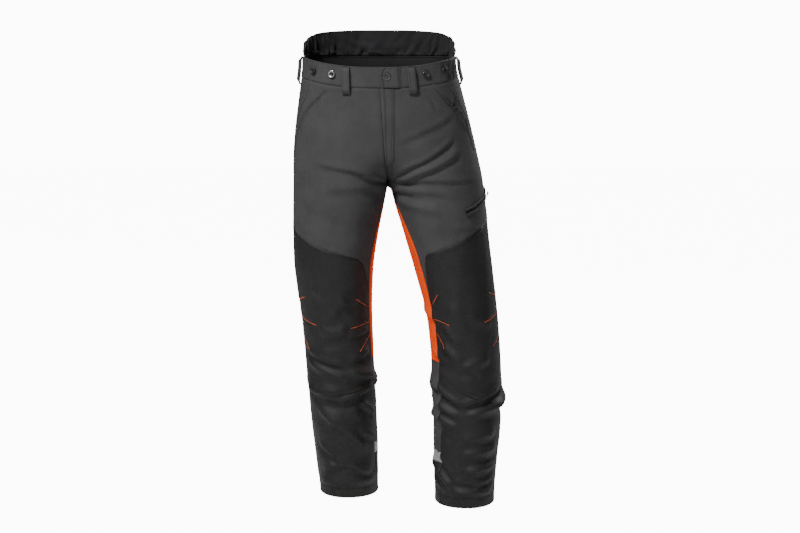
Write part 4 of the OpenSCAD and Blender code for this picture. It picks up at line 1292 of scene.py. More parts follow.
@dataclass
class LegShell:
    """The outer cloth of one leg: its panels, their seams and the stitching along them."""

    skin: Skin
    layout: Layout
    tailor: Tailor
    stitching: Stitching
    side: Side
    spacing: float = 4.4 * MM
    tuck: float = 7.0 * MM

    def front(self, z: Array) -> Array:
        """The u of the inner panel's front seam."""
        return self.layout.front_edge(self.side, z)

    def around(self, z: Array) -> Array:
        """The front seam again, once round the leg."""
        return 1 + self.front(z)

    def inner(self, z: Array) -> Array:
        """The u of the inner panel's rear seam, on the near side of the inseam."""
        return self.layout.back_edge(z) - 1

    def seam(self, z: Array) -> Array:
        """The u of the side seam."""
        return np.full_like(z, self.layout.side_seam)

    def waist(self, s: Array) -> Array:
        """The height of the front panel's upper edge."""
        return self.layout.band_bottom(self.side.value * self.layout.side_seam * s)

    def thigh(self, s: Array) -> Array:
        """The height of the knee panel's upper seam."""
        return self.layout.thigh_cut(self.side, s)

    def knee(self, s: Array) -> Array:
        """The height of the knee panel's lower seam."""
        return self.layout.knee_cut(self.side, s)

    def under(self, s: Array) -> Array:
        """The height of the shin panel's upper edge, tucked up behind the knee panel."""
        return self.knee(s) + self.tuck

    @staticmethod
    def level(height: float) -> Curve:
        """An edge at one height."""
        return lambda s: np.full_like(s, height)

    def build(self) -> None:
        """Builds every panel, then sews them."""
        lay = self.layout
        self.rider = lay.leg_rider(self.side)
        hem, strip, strip_top, knee, knee_top, crotch, waist = map(self.level, (
            lay.hem, *lay.strip, *lay.knee_back, lay.crotch - 1 * MM, lay.rise + lay.band_low))
        grey, black, orange, silver = Slot.GREY, Slot.BLACK, Slot.ORANGE, Slot.SILVER
        self.panel("front_cloth", grey, self.thigh, self.waist, self.front, self.seam, "front_panel", 0.30)
        self.panel("back_cloth", grey, knee_top, waist, self.seam, lay.back_edge, "back_panel", 0.29)
        self.panel("inner_thigh_cloth", orange, knee_top, crotch, self.inner, self.front,
                   "inner_thigh_panel", 0.12)
        self.panel("inner_knee_cloth", orange, knee, knee_top, self.inner, self.front,
                   "inner_knee_panel", 0.14)
        self.panel("knee_cloth", black, self.knee, self.thigh, self.front, self.seam, "knee_panel", 0.24,
                   lap=True)
        self.panel("knee_back_cloth", grey, knee, knee_top, self.seam, lay.back_edge, "knee_back_panel", 0.18)
        self.panel("shin_cloth", black, hem, self.under, self.front, self.seam, "shin_panel", 0.22,
                   tucked=self.knee, hem=True)
        self.panel("calf_cloth", grey, strip_top, knee, self.seam, self.around, "calf_panel", 0.28)
        self.panel("strip_cloth", silver, strip, strip_top, self.seam, self.around, "reflective_strip", 0.25)
        self.panel("heel_cloth", black, hem, strip, self.seam, self.around, "heel_panel", 0.25, hem=True)
        self.sew()

    def panel(self, name: str, slot: Slot, low: Curve, high: Curve, start: Curve, stop: Curve,
              node: str, width: float, lap: bool = False, tucked: Curve | None = None,
              hem: bool = False) -> None:
        """Lays one panel and stands it for its CAD node.

        Args:
            name: The piece's name without its side.
            slot: The finish.
            low: The height of its lower edge by the share across.
            high: The height of its upper edge.
            start: The u of its first side edge by height.
            stop: The u of its second side edge.
            node: The CAD node it stands for, without its side.
            width: About how wide it is.
            lap: Whether its lower edge lies over the next panel.
            tucked: The seam that its upper edge runs on behind, if it does.
            hem: Whether its lower edge is the leg's hem.
        """
        middle = np.array([0.5])
        tall = float((high(middle) - low(middle))[0])
        columns, rows = crowded(width, self.spacing), crowded(tall, self.spacing)

        def place(s: Array, t: Array) -> Pair:
            """u and z on the skin."""
            z = mix(low(s), high(s), t)
            return mix(start(z), stop(z), s), z

        def lift(s: Array, t: Array, u: Array, z: Array) -> Array:
            """The seams' dips, a lap's raised edge and a hem's roll."""
            off = seam_dip(np.minimum(s, 1 - s) * width)
            below, above = z - low(s), high(s) - z
            if lap:
                off = off + 0.9 * MM * np.exp(-(below / (7 * MM)) ** 2)
            elif not hem:
                off = off + seam_dip(below)
            if tucked is not None:
                off = off - 1.5 * MM * (1 - ease((tucked(s) - z) / (5 * MM)))
            elif above.min() > -1:
                off = off + seam_dip(above)
            if hem:
                off = off - 1.3 * MM * np.maximum(0, 1 - below / (2.4 * MM)) ** 2
                off = off - 0.5 * MM * np.exp(-((below - 23 * MM) / (2 * MM)) ** 2)
            return off

        full = f"{name}_{self.side.word}"
        locate = self.skin.on_leg(self.side)
        obj = self.tailor.cloth(full, locate, place, columns, rows, slot, self.rider, lift)
        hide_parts(f"{node}_{self.side.word}")
        self.tailor.declare(obj, "hung", ["waistband_cloth_back"])

    def sew(self) -> None:
        """Runs the rows of stitches beside the seams."""
        lay, dark, grey = self.layout, Slot.BLACK, Slot.GREY
        locate = self.skin.on_leg(self.side)

        def thread_row(thread: Slot, u: Array, z: Array, lift: float) -> None:
            """A row at u and z."""
            self.stitching.row(f"leg_stitches_{thread.value}_{self.side.word}", thread, self.rider,
                               locate(u, z, lift))

        def up(edge: Curve, low: float, high: float, off: float, thread: Slot) -> None:
            """A row that follows a side edge."""
            z = np.linspace(low, high, 240)
            thread_row(thread, edge(z) + off / 0.6, z, 0.35 * MM)

        def along(cut: Curve, start: Curve, stop: Curve, off: float, thread: Slot,
                  lift: float = 0.35) -> None:
            """A row that follows an upper or lower edge."""
            s = np.linspace(0.01, 0.99, 240)
            z = cut(s) + off
            thread_row(thread, mix(start(z), stop(z), s), z, lift * MM)

        up(self.front, lay.knee_back[0], lay.crotch - 0.02, 2.6 * MM, dark)
        up(lay.back_edge, lay.knee_back[0], lay.crotch - 0.02, -2.6 * MM, grey)
        up(self.seam, lay.strip[0], lay.band_low - 0.02, 2.6 * MM, grey)
        up(self.seam, lay.hem + 0.03, -lay.thigh_outer[self.side], -2.6 * MM, dark)
        for off in (3 * MM, 9 * MM):
            along(self.knee, self.front, self.seam, off, dark, 0.9)
        for off in (-3 * MM, -8.5 * MM):
            along(self.thigh, self.front, self.seam, off, dark)
        for height, stop, thread in ((lay.strip[0] + 2 * MM, self.around, dark),
                                     (lay.strip[1] - 2 * MM, self.around, dark),
                                     (lay.knee_back[1] + 2.6 * MM, lay.back_edge, grey)):
            along(self.level(height), self.seam, stop, 0.0, thread)
        for start, stop in ((self.front, self.seam), (self.seam, self.around)):
            along(self.level(lay.hem_fold - 1 * MM), start, stop, 0.0, dark)


@dataclass
class KneePleats:
    """Short stitched pleats at both edges of a knee panel, sewn over with bright thread."""

    skin: Skin
    layout: Layout
    stitching: Stitching
    side: Side
    low: float = 14 * MM
    pitch: float = 0.95 * MM
    across: float = 1.2 * MM
    pleats: tuple[tuple[float, float, float], ...] = (
        (42, 68, 0.155), (8, -2, 0.185), (-26, -60, 0.15), (52, 70, 0.395), (22, 4, 0.34), (-24, -56, 0.39))

    def paths(self) -> list[Array]:
        """u and z along each pleat, from the edge to its tip."""
        shift = self.layout.knee - (0.0 if self.side is Side.LEFT else self.low)
        found = []
        for edge_z, tip_z, tip_u in self.pleats:
            z = shift + mix(edge_z, tip_z, np.linspace(0, 1, 60)) * MM
            edge_u = self.layout.front_edge(self.side, z) + 0.010 if tip_u < 0.3 else np.full_like(z, 0.495)
            found.append(np.stack([mix(edge_u, tip_u, np.linspace(0, 1, 60)), z], 1))
        return found

    @classmethod
    def puckers(cls, layout: Layout) -> tuple[Fold, ...]:
        """The narrow folds that the pleats pull into both knee panels."""
        found = []
        for side in Side:
            for path in cls(None, layout, None, side).paths():
                (u0, z0), (u1, z1) = path[0], path[-1]
                if u0 > u1:
                    u0, z0, u1, z1 = u1, z1, u0, z0
                found.append(Fold(side, u0, z0, u1, z1, -2.6 * MM, 0.005))
        return tuple(found)

    def build(self) -> None:
        """Sews each pleat with close stitches across it."""
        locate = self.skin.on_leg(self.side)
        rider = self.layout.leg_rider(self.side)
        for path in self.paths():
            places = locate(path[:, 0], path[:, 1], 0.45 * MM)
            steps = np.r_[0.0, np.cumsum(np.linalg.norm(np.diff(places, axis=0), axis=1))]
            spots = np.arange(0, steps[-1], self.pitch)
            u, z = (np.interp(spots, steps, path[:, k]) for k in range(2))
            centres = locate(u, z, 0.5 * MM)
            more = locate(u, z, 1.5 * MM) - centres
            ahead = np.gradient(centres, axis=0)
            over = np.cross(ahead, more)
            over /= np.linalg.norm(over, axis=1, keepdims=True)
            ahead /= np.linalg.norm(ahead, axis=1, keepdims=True)
            slant = over * self.across / 2 + ahead * 0.4 * MM
            self.stitching.bars(f"knee_tack_threads_{self.side.word}", Slot.THREAD, rider,
                                centres - slant, centres + slant, 0.38 * MM)


@dataclass
class LegInsides:
    """What lies inside one leg: the hem's facing, the cut-protection insert and the lining."""

    skin: Skin
    layout: Layout
    tailor: Tailor
    side: Side
    facing_depth: float = 2.4 * MM
    insert_depth: float = 5.4 * MM
    insert_thick: float = 4.6 * MM
    lining_depth: float = 13.2 * MM

    def build(self) -> None:
        """Builds the three layers."""
        lay, side, word = self.layout, self.side, self.side.word
        rider = lay.leg_rider(side)
        facing = self._tube(f"hem_facing_cloth_{word}", lay.hem + 1.0 * MM, lay.hem_fold, self.facing_depth,
                            Slot.DARK_LINING, Rider(side.shin), 1.0 * MM, 0.52)
        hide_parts(f"hem_facing_{word}")
        self.tailor.declare(facing, "folded", [f"heel_cloth_{word}"])
        lining = self._tube(f"lining_cloth_{word}", lay.lining[0], lay.lining[1], self.lining_depth,
                            Slot.LINING, rider, 0.6 * MM, 0.55)
        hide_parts(f"leg_lining_{word}")
        self.tailor.declare(lining, "hung", [f"front_cloth_{word}"])
        self._insert(rider)

    def _tube(self, name: str, low: float, high: float, depth: float, slot: Slot, rider: Rider,
              thick: float, width: float) -> bpy.types.Object:
        """A closed sleeve of cloth inside the leg."""
        locate = self.skin.inside_leg(self.side)
        columns = np.linspace(0, 1, max(12, int(width / (7 * MM))))
        rows = np.linspace(0, 1, max(4, int((high - low) / (8 * MM))))

        def shape(s: Array, t: Array) -> Array:
            """The sleeve's outer face."""
            return locate(s, mix(low, high, t), -depth)

        bm = self.tailor.grid(columns, rows, shape, None, close=True)
        obj = self.tailor.add(name, bm, slot)
        self.tailor.thicken(obj, thick)
        rider.take(obj)
        return obj

    def _insert(self, rider: Rider) -> None:
        """The padded insert over the front and sides of the leg, quilted down its length."""
        lay, side = self.layout, self.side
        locate = self.skin.inside_leg(side)
        low, high = lay.insert
        columns = crowded(0.33, 7 * MM, (1.2, 3.0, 6.0))
        rows = crowded(high - low, 8 * MM, (1.2, 3.0, 6.0))

        def place(s: Array, t: Array) -> Pair:
            """u and z on the skin."""
            z = mix(low, high, t)
            return mix(lay.front_edge(side, z) + 0.004, lay.side_seam + 0.016, s), z

        def lift(s: Array, t: Array, u: Array, z: Array) -> Array:
            """Sunk edges, and shallow channels every few centimetres."""
            edge = np.minimum(np.minimum(s, 1 - s) * 0.33, np.minimum(t, 1 - t) * (high - low))
            channel = np.abs(np.mod(s * 0.33 / 0.055 + 0.5, 1.0) - 0.5) * 0.055
            return (-self.insert_depth - 0.9 * MM * np.exp(-(channel / (2.5 * MM)) ** 2)
                    - 1.2 * MM * np.exp(-(edge / (3 * MM)) ** 2))

        obj = self.tailor.cloth(f"insert_padding_{side.word}", locate, place, columns, rows, Slot.FIBRE,
                                rider, lift, self.insert_thick, 1.2 * MM)
        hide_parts(f"cut_protection_{side.word}")


# ---------------------------------------------------------------- the waist


def ring_share(angle: float) -> float:
    """The ring's share for an angle in degrees: 0 at the left side, 90 in front, 180 at the right."""
    return float(np.mod((90 - angle) / 180, 2.0))


@dataclass
class RingWork:
    """What the waist's sub-assemblies share: patches and stitch rows laid on the body's ring."""

    skin: Skin
    layout: Layout
    tailor: Tailor
    stitching: Stitching

    def patch(self, name: str, slot: Slot, start: float, stop: float, low: Curve, high: Curve, lift: LiftMap,
              rider: Rider = ROOT, thick: float = 1.2 * MM, bevel: float = 0.0, spacing: float = 4.5 * MM,
              edge: Sequence[float] = (0.7, 1.6, 3.0, 6.0)) -> bpy.types.Object:
        """Lays a patch between two shares of the ring and two edges by share."""
        locate = self.skin.on_ring()
        w = np.linspace(start, stop, 60)
        places = locate(w, BAND_LINE_Z, 0.0)
        width = float(np.linalg.norm(np.diff(places, axis=0), axis=1).sum())
        tall = float(np.mean(high(w) - low(w)))

        def place(s: Array, t: Array) -> Pair:
            """The ring's share and the height."""
            here = mix(start, stop, s)
            return here, mix(low(here), high(here), t)

        return self.tailor.cloth(name, locate, place, crowded(width, spacing, edge),
                                 crowded(tall, spacing, edge), slot, rider, lift, thick, bevel)

    def row(self, group: str, thread: Slot, w: float | Array, z: float | Array, lift: float | Array,
            rider: Rider = ROOT, pitch: float = 3.4 * MM) -> None:
        """Sews a row of stitches along shares and heights."""
        path = self.skin.on_ring()(w, z, lift)
        self.stitching.row(group, thread, rider, path, pitch, pitch * 0.72, 0.3 * MM)

    def row_on(self, group: str, locate: Locator, place: PlaceMap, lift: LiftMap, s: float | Array,
               t: float | Array, off: float = 0.2 * MM, rider: Rider = ROOT, pitch: float = 3.2 * MM,
               length: float = 2.3 * MM) -> None:
        """Sews a dark row on a piece of cloth.

        Args:
            group: The name of the stitches' piece.
            locate: Where u, z and lift are in space.
            place: Gives u and z for shares across and up the cloth.
            lift: How far the cloth stands off the skin.
            s: The row's shares across.
            t: The row's shares up.
            off: How far the thread stands off the cloth.
            rider: What it moves with.
            pitch: The distance from stitch to stitch.
            length: A stitch's length.
        """
        s, t = np.broadcast_arrays(s, t)
        u, z = place(s, t)
        path = locate(u, z, lift(s, t, u, z) + off)
        self.stitching.row(group, Slot.BLACK, rider, path, pitch, length, 0.3 * MM)


@dataclass
class Waistband(RingWork):
    """The band in its three parts, its inner facing and its elastics."""

    roll: float = 2.4 * MM
    underlap: float = 0.042
    tab_end: float = 0.050
    pucker: float = 2.1 * MM

    def build(self) -> None:
        """Builds the band."""
        lay = self.layout
        left_start = self.skin.u_at_x(self.tab_end, BAND_LINE_Z)
        right_start = self.skin.u_at_x(self.underlap, BAND_LINE_Z)
        for name, start, stop, node in (
                ("waistband_cloth_left", left_start, lay.side_seam, "waistband_left"),
                ("waistband_cloth_right", right_start, -lay.side_seam, "waistband_right"),
                ("waistband_cloth_back", lay.side_seam + 0.001, 2 - lay.side_seam - 0.001, "waistband_back")):
            obj = self.patch(name, Slot.GREY, start, stop, lay.band_bottom, lay.band_top, self._lift)
            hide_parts(node)
            self.tailor.declare(obj, "stretched", ["front_cloth_left", "front_cloth_right"])
        for name, start, stop in (("waist_facing_right", right_start - 0.003, -0.5),
                                  ("waist_facing_left", 0.5, left_start - 0.003),
                                  ("waist_facing_back", 0.502, 1.498)):
            obj = self.patch(name, Slot.DARK_LINING, start, stop, lambda w: lay.band_bottom(w) + 4 * MM,
                             lambda w: lay.band_top(w) - 0.6 * MM,
                             lambda s, t, u, z: -2.4 * MM + 0 * z, thick=MM)
            self.tailor.declare(obj, "stretched", ["waistband_cloth_back"])
            if name.endswith("right"):
                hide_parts("inner_waistband")
        for name, start in (("side_elastic_left", ring_share(6)), ("side_elastic_right", ring_share(150))):
            obj = self.patch(name, Slot.ELASTIC, start - 24 / 180, start,
                             lambda w: lay.band_bottom(w) + 12 * MM, lambda w: lay.band_top(w) - 8 * MM,
                             lambda s, t, u, z: -4.6 * MM + 0.25 * MM * np.sin(s * 150), spacing=1.6 * MM)
            self.tailor.declare(obj, "stretched", ["waistband_cloth_back"])
            if name.endswith("left"):
                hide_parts("side_elastics")
        self._sew(left_start, right_start)

    def _lift(self, s: Array, t: Array, u: Array, z: Array) -> Array:
        """A rolled top edge, a dip at the seam below, and gathers where the elastics pull."""
        below = z - self.layout.band_bottom(u)
        above = self.layout.band_top(u) - z
        turn = np.mod(u, 2.0)
        back = (turn > 0.52) & (turn < 1.48)
        roll = np.clip(1 - above / self.roll, 0, 1)
        rolled = self.roll * (1 - np.sqrt(np.maximum(0, 1 - roll ** 2)))
        off = 0.5 * MM + seam_dip(below, 1.3 * MM, 0.3 * MM) - np.where(back, 0.8 * MM * roll ** 2, rolled)
        angle = 90 - 180 * np.where(turn > 1.5, turn - 2, turn)
        pull = np.exp(-((angle - 22) / 17) ** 2) + np.exp(-((angle - 158) / 17) ** 2)
        slant = angle + 6 * (t - 0.5)
        ripple = np.sin(slant * 0.75) + 0.8 * np.sin(slant * 1.7 + 1.0)
        return off + self.pucker * pull * ripple * np.sin(math.pi * np.clip(t, 0, 1)) ** 0.7

    def _sew(self, left: float, right: float) -> None:
        """Stitches along both edges of the band."""
        lay = self.layout
        seam = lay.side_seam
        for start, stop in ((left, seam), (right, -seam), (seam, 2 - seam)):
            w = np.linspace(start, stop, 300)
            for offset in (2.6 * MM, 47 * MM):
                self.row("waist_stitches", Slot.GREY, w, lay.band_bottom(w) + offset, 0.85 * MM)


@dataclass
class BackGuard(RingWork):
    """The raised guard behind: outer cloth, gathered lining, elastic and bound edge."""

    folds: float = 4.4 * MM
    binding_puckers: int = 66

    def foot(self, w: Array) -> Array:
        """The height of the guard's lower edge, tucked behind the band."""
        return np.full_like(w, self.layout.rise - 5 * MM)

    def edge(self, w: Array) -> Array:
        """The height of the cloth's upper edge, inside its binding."""
        return self.layout.guard_edge(w) - 2 * MM

    def build(self) -> None:
        """Builds the guard's layers."""
        lay = self.layout
        pins = np.array([v.co for v in frame["nodes"]["brace_button_rivets"].data.vertices])
        pins = pins[pins[:, 1] > 0]
        self.rivet_z = float(pins[:, 2].mean())
        w = np.linspace(1.0, 1.3, 61)
        across = self.skin.on_ring()(w, self.rivet_z, 0.0)[:, 0]
        self.rivet_w = float(np.interp(np.abs(pins[:, 0]).mean(), -across, w)) - 1
        start, stop = lay.side_seam + 0.001, 2 - lay.side_seam - 0.001
        outer = self.patch("guard_cloth", Slot.GREY, start, stop, self.foot, self.edge, self._outer,
                           spacing=3.0 * MM)
        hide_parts("back_guard")
        self.tailor.declare(outer, "stretched", ["waistband_cloth_back"])
        # Partly its own cloth, partly painted light: the gathered lining takes the elastic's lighter black,
        # not the black lining's, to stand for the light it catches above the shaded inner band.
        lining = self.patch("guard_lining_cloth", Slot.ELASTIC, start, stop, self.foot, self.edge,
                            self._inner, thick=0.8 * MM, spacing=2.4 * MM)
        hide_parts("back_guard_lining")
        self.tailor.declare(lining, "gathered", ["guard_cloth"])
        elastic = self.patch("guard_elastic_band", Slot.ELASTIC, start + 0.11, stop - 0.11,
                             lambda w: self.foot(w) + 6 * MM, lambda w: self.foot(w) + 16 * MM,
                             lambda s, t, u, z: self._gather(u, z) - 5.4 * MM + 0.2 * MM * np.sin(s * 300),
                             spacing=1.8 * MM)
        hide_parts("guard_elastic")
        self.tailor.declare(elastic, "stretched", ["guard_lining_cloth"])
        self._binding(start, stop)
        w = np.linspace(start + 0.004, stop - 0.004, 400)
        self.row("guard_stitches", Slot.GREY, w, lay.rise + 2.6 * MM, 0.7 * MM)
        w, z = w[20:-20], lay.rise + 3.5 * MM
        self.row("guard_lining_stitches", Slot.LINING, w, z, self._gather(w, z) - 4.5 * MM, pitch=5.0 * MM)

    def _gather(self, u: Array, z: Array) -> Array:
        """Upright folds that fan out from the drawn line at the guard's foot."""
        w = np.mod(u, 2.0)
        turn = 2 * math.pi
        high = np.clip((z - self.layout.rise) / (self.layout.guard_top - self.layout.rise), 0, 1)
        fan = w - 0.055 * high ** 1.5 * np.sin(1.3 * turn * (w - 1)) + 0.006 * np.sin(9 * high + 40 * w)
        broad = np.sin(turn * (13 * fan + 0.35 * np.sin(fan * 23))) + 0.5 * np.sin(fan * 151 + 2.2)
        fine = np.sin(turn * (41 * fan + 0.4 * np.sin(fan * 61)))
        both = 0.8 * broad * (1 - 0.75 * high) + 0.4 * fine * (1 - high) ** 3
        return self.folds * ease(high / 0.14) * both

    def _outer(self, s: Array, t: Array, u: Array, z: Array) -> Array:
        """The outer cloth, softly gathered."""
        return (0.6 * self._gather(u, z) - 1.6 * MM * (1 - ease((z - self.layout.rise + 1 * MM) / (5 * MM)))
                - 1.0 * MM * np.exp(-((self.layout.guard_edge(u) - z) / (3 * MM)) ** 2))

    def _inner(self, s: Array, t: Array, u: Array, z: Array) -> Array:
        """The lining's outer side, gathered more than the cloth."""
        w, gather = np.mod(u, 2.0), self._gather(u, z)
        beside, above = (np.abs(w - 1) - self.rivet_w) / 0.035, (z - self.rivet_z) / (14 * MM)
        rivet = np.exp(-beside ** 2 - above ** 2)
        return -3.4 * MM + gather - 3.0 * MM * rivet - np.maximum(0, gather) * rivet

    def _binding(self, start: float, stop: float) -> None:
        """A rolled tape round the guard's upper edge."""
        locate, lay = self.skin.on_ring(), self.layout

        def shape(s: Array, t: Array, grow: float = 0.0) -> Array:
            """A flat oval that follows the edge."""
            w = mix(start, stop, s)
            edge, turn = lay.guard_edge(w), 2 * math.pi * t
            pucker = 1 + 0.10 * np.sin(2 * math.pi * self.binding_puckers * s)
            lift = 0.8 * self._gather(w, edge) - 1.9 * MM + (2.5 * MM * pucker + grow) * np.cos(turn)
            return locate(w, edge - 2.2 * MM + (2.6 * MM + grow) * np.sin(turn), lift)

        bm = self.tailor.grid(np.linspace(0, 1, 181), np.linspace(0, 1, 13), shape,
                              lambda s, t: shape(s, t, MM), close=True)
        bmesh.ops.holes_fill(bm, edges=bm.edges, sides=20)
        bmesh.ops.recalc_face_normals(bm, faces=bm.faces)
        obj = self.tailor.add("guard_binding_tape", bm, Slot.DARK_LINING)
        ROOT.take(obj)
        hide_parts("guard_binding")


@dataclass
class WaistTab(RingWork):
    """The pointed tab that closes the band in front, with its snap."""

    tip: float = 2 * MM
    tip_share: float = 0.7
    stay_low: float = 5 * MM
    stay_high: float = 12 * MM
    stand: float = 3.8 * MM
    end_x: float = 0.050
    wide: float = 0.045

    def edge_x(self, t: Array) -> Array:
        """How far the tab's free edge is from the middle, by the share up the band."""
        return self.tip + np.where(t < self.tip_share, self.stay_low * (1 - t / self.tip_share),
                                   self.stay_high * (t - self.tip_share) / (1 - self.tip_share))

    def build(self) -> None:
        """Builds the tab and its stitching; the snap's two CAD pieces stay."""
        lay = self.layout
        xs = np.linspace(-0.02, 0.07, 60)
        shares = np.array([self.skin.u_at_x(x, BAND_LINE_Z) for x in xs])
        def at_x(x: Array) -> Array:
            """The ring's share where the cloth is at x."""
            return np.interp(x, xs, shares)

        def place(s: Array, t: Array) -> Pair:
            """The ring's share and the height."""
            w = mix(at_x(self.edge_x(t)), at_x(self.end_x), s)
            return w, mix(lay.band_bottom(w) + 1 * MM, lay.band_top(w), t)

        def lift(s: Array, t: Array, u: Array, z: Array) -> Array:
            """Off the band, sewn down at its far end, with softened edges."""
            free = s * self.wide
            rim = np.minimum(np.minimum(free, self.wide), np.minimum(t, 1 - t) * 0.048)
            sewn = (self.stand - 1.9 * MM) * ease((s - 0.72) / 0.28)
            fold = 1.3 * MM * np.exp(-((free - 1.6 * MM) / (1.5 * MM)) ** 2)
            groove = 0.8 * MM * np.exp(-((free - 5.0 * MM) / (1.5 * MM)) ** 2)
            return self.stand + fold - groove - sewn - 0.6 * MM * np.exp(-(rim / (0.8 * MM)) ** 2)

        rider, locate = Rider("tab"), self.skin.on_ring()
        obj = self.tailor.cloth("waist_tab_cloth", locate, place, crowded(self.wide, 2.4 * MM, (0.6, 1.4)),
                                crowded(0.049, 2.4 * MM, (0.6, 1.4)), Slot.GREY, rider, lift,
                                1.2 * MM, 0.3 * MM)
        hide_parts("waist_tab")
        self.tailor.declare(obj, "laid", ["waistband_cloth_left"])
        up, across = np.linspace(0.05, 0.95, 60), np.linspace(0.06, 0.94, 60)
        for s, t in ((0.055, up), (across, 0.05), (across, 0.95), (0.86, up), (0.93, up)):
            self.row_on("waist_tab_stitches", locate, place, lift, s, t, rider=rider, pitch=3.0 * MM,
                        length=2.16 * MM)


@dataclass
class BeltLoops(RingWork):
    """Five loops that stand off the band between their sewn ends."""

    wide: float = 18 * MM
    tall: float = 66 * MM
    gap: float = 5.2 * MM
    turn: float = 3.4 * MM
    front_x: float = 0.075
    side_shares: tuple[float, float] = (0.487, 1.513)

    def build(self) -> None:
        """Builds the loops where the frame has them."""
        lay = self.layout
        groups = {
            "front_belt_loops": [self.skin.u_at_x(x, BAND_LINE_Z) for x in (-self.front_x, self.front_x)],
            "side_belt_loops": self.side_shares, "back_belt_loop": [1.0]}
        for node, shares in groups.items():
            for k, w in enumerate(shares):
                front = node == "front_belt_loops"
                top = float(lay.band_top(np.array(w))) if front else float(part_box(node)[1].z)
                obj = self._loop(f"{node}_{k + 1}_strap", w, top)
                if k == 0:
                    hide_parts(node)

    def _loop(self, name: str, w: float, top: float) -> bpy.types.Object:
        """Builds one loop, its side stitches and the bars that hold its ends."""
        locate = self.skin.on_ring()
        near = locate(np.array([w - 0.01, w + 0.01]), top - 0.03, 0.0)
        half = self.wide / 2 / float(np.linalg.norm(near[1] - near[0])) * 0.02
        at_side = abs(w % 1 - 0.5) <= 0.1
        turn = 0.0 if not at_side else self.turn if w < 1 else -self.turn

        def place(s: Array, t: Array) -> Pair:
            """The ring's share and the height."""
            return w + half * (2 * s - 1), top - self.tall * (1 - t)

        def lift(s: Array, t: Array, u: Array, z: Array) -> Array:
            """Sewn at both ends, bowed out between them."""
            bow = ease(np.minimum(t, 1 - t) * 5.5)
            rim = np.minimum(s, 1 - s) * self.wide / MM
            return 3.4 * MM + self.gap * bow + turn * bow * (2 * s - 1) - 0.35 * MM * np.exp(-rim ** 2)

        obj = self.tailor.cloth(name, locate, place, crowded(self.wide, 3 * MM, (0.6, 1.6)),
                                crowded(self.tall, 2.6 * MM, (0.6, 1.6)), Slot.GREY, ROOT, lift,
                                3.2 * MM, 0.7 * MM)
        self.tailor.declare(obj, "stretched", ["waistband_cloth_back"])
        for share in (0.16, 0.84):
            self.row_on("belt_loop_stitches", locate, place, lift, share, np.linspace(0.03, 0.97, 90),
                        0.15 * MM, pitch=3.4 * MM, length=2.448 * MM)
        for share in (0.035, 0.965):
            s = np.linspace(0.12, 0.88, 22)
            u, z = place(s, np.full_like(s, share))
            base = lift(s, np.full_like(s, share), u, z) + 0.2 * MM
            self.stitching.bars("belt_loop_bars", Slot.BLACK, ROOT, locate(u, z - 1.1 * MM, base),
                                locate(u, z + 1.1 * MM, base), 0.42 * MM)
        return obj


@dataclass(frozen=True)
class ButtonShape:
    """A tack button's profile as pairs of radius and height, in millimetres."""

    rim: tuple[tuple[float, float], ...] = (
        (0.0, 0.0), (3.4, 0.0), (3.1, 0.6), (3.1, 2.6), (3.6, 3.0), (7.9, 3.0), (8.4, 3.3), (8.5, 4.0),
        (8.4, 4.9), (7.9, 5.8), (7.1, 6.2), (6.2, 6.0), (5.4, 5.4), (4.8, 4.9), (4.2, 4.8))
    inlay: tuple[tuple[float, float], ...] = (
        (4.5, 4.7), (4.5, 5.2), (4.1, 5.5), (3.4, 5.3), (2.6, 4.9), (1.4, 4.75), (0.0, 4.7))


@dataclass
class BraceButtons(RingWork):
    """Six tack buttons for braces."""

    profile: ButtonShape = field(default_factory=ButtonShape)
    front_x: tuple[float, float] = (0.107, 0.150)
    back_x: float = 0.034
    steps: int = 36

    def build(self) -> None:
        """Spins a button at each place where the frame has one."""
        lay = self.layout
        fronts = [self.skin.u_at_x(side * x, -0.01) for x in self.front_x for side in (1, -1)]
        low = 0.3174 * (lay.rise - lay.band_low)
        spots = [(w, float(lay.band_top(np.array(w))) - low) for w in fronts]
        back = self._back_share(self.back_x)
        high = lay.rise + 0.36 * (lay.guard_top - lay.rise)
        spots += [(back, high), (2 - back, high)]
        for k, (w, z) in enumerate(spots):
            # painted highlight: the second button's rim alone takes the bright gunmetal finish, standing for
            # light caught on it; the other rims are moulded black
            rim = self._spin(f"brace_button_{k + 1}_rim", self.profile.rim, w, z,
                             Slot.GUNMETAL if k == 1 else Slot.MOULDED)
            self._spin(f"brace_button_{k + 1}_inlay", self.profile.inlay, w, z, Slot.MOULDED)
            if k == 0:
                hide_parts("brace_buttons")

    def _back_share(self, x: float) -> float:
        """The ring's share behind, at a distance to the left of the middle."""
        w = np.linspace(0.8, 1.0, 200)
        places = self.skin.on_ring()(w, self.layout.rise, 0.0)
        return float(np.interp(-x, -places[:, 0], w))

    def _spin(self, name: str, profile: Sequence[tuple[float, float]], w: float, z: float,
              slot: Slot) -> bpy.types.Object:
        """Turns a profile round the cloth's normal."""
        locate = self.skin.on_ring()
        foot, ahead = (Vector(locate(np.array([w]), z, lift)[0]) for lift in (0.4 * MM, 10 * MM))
        out = (ahead - foot).normalized()
        bm = bmesh.new()
        start = [bm.verts.new((r * MM, 0.0, h * MM)) for r, h in profile]
        edges = [bm.edges.new(pair) for pair in zip(start, start[1:])]
        bmesh.ops.spin(bm, geom=start + edges, cent=(0, 0, 0), axis=(0, 0, 1), angle=2 * math.pi,
                       steps=self.steps, use_merge=True)
        bmesh.ops.remove_doubles(bm, verts=bm.verts, dist=1e-6)
        bmesh.ops.recalc_face_normals(bm, faces=bm.faces)
        turn = out.to_track_quat("Z", "Y").to_matrix().to_4x4()
        bmesh.ops.transform(bm, matrix=Matrix.Translation(foot) @ turn, verts=bm.verts)
        obj = self.tailor.add(name, bm, slot)
        ROOT.take(obj)
        return obj


# ---------------------------------------------------------------- fly and pockets


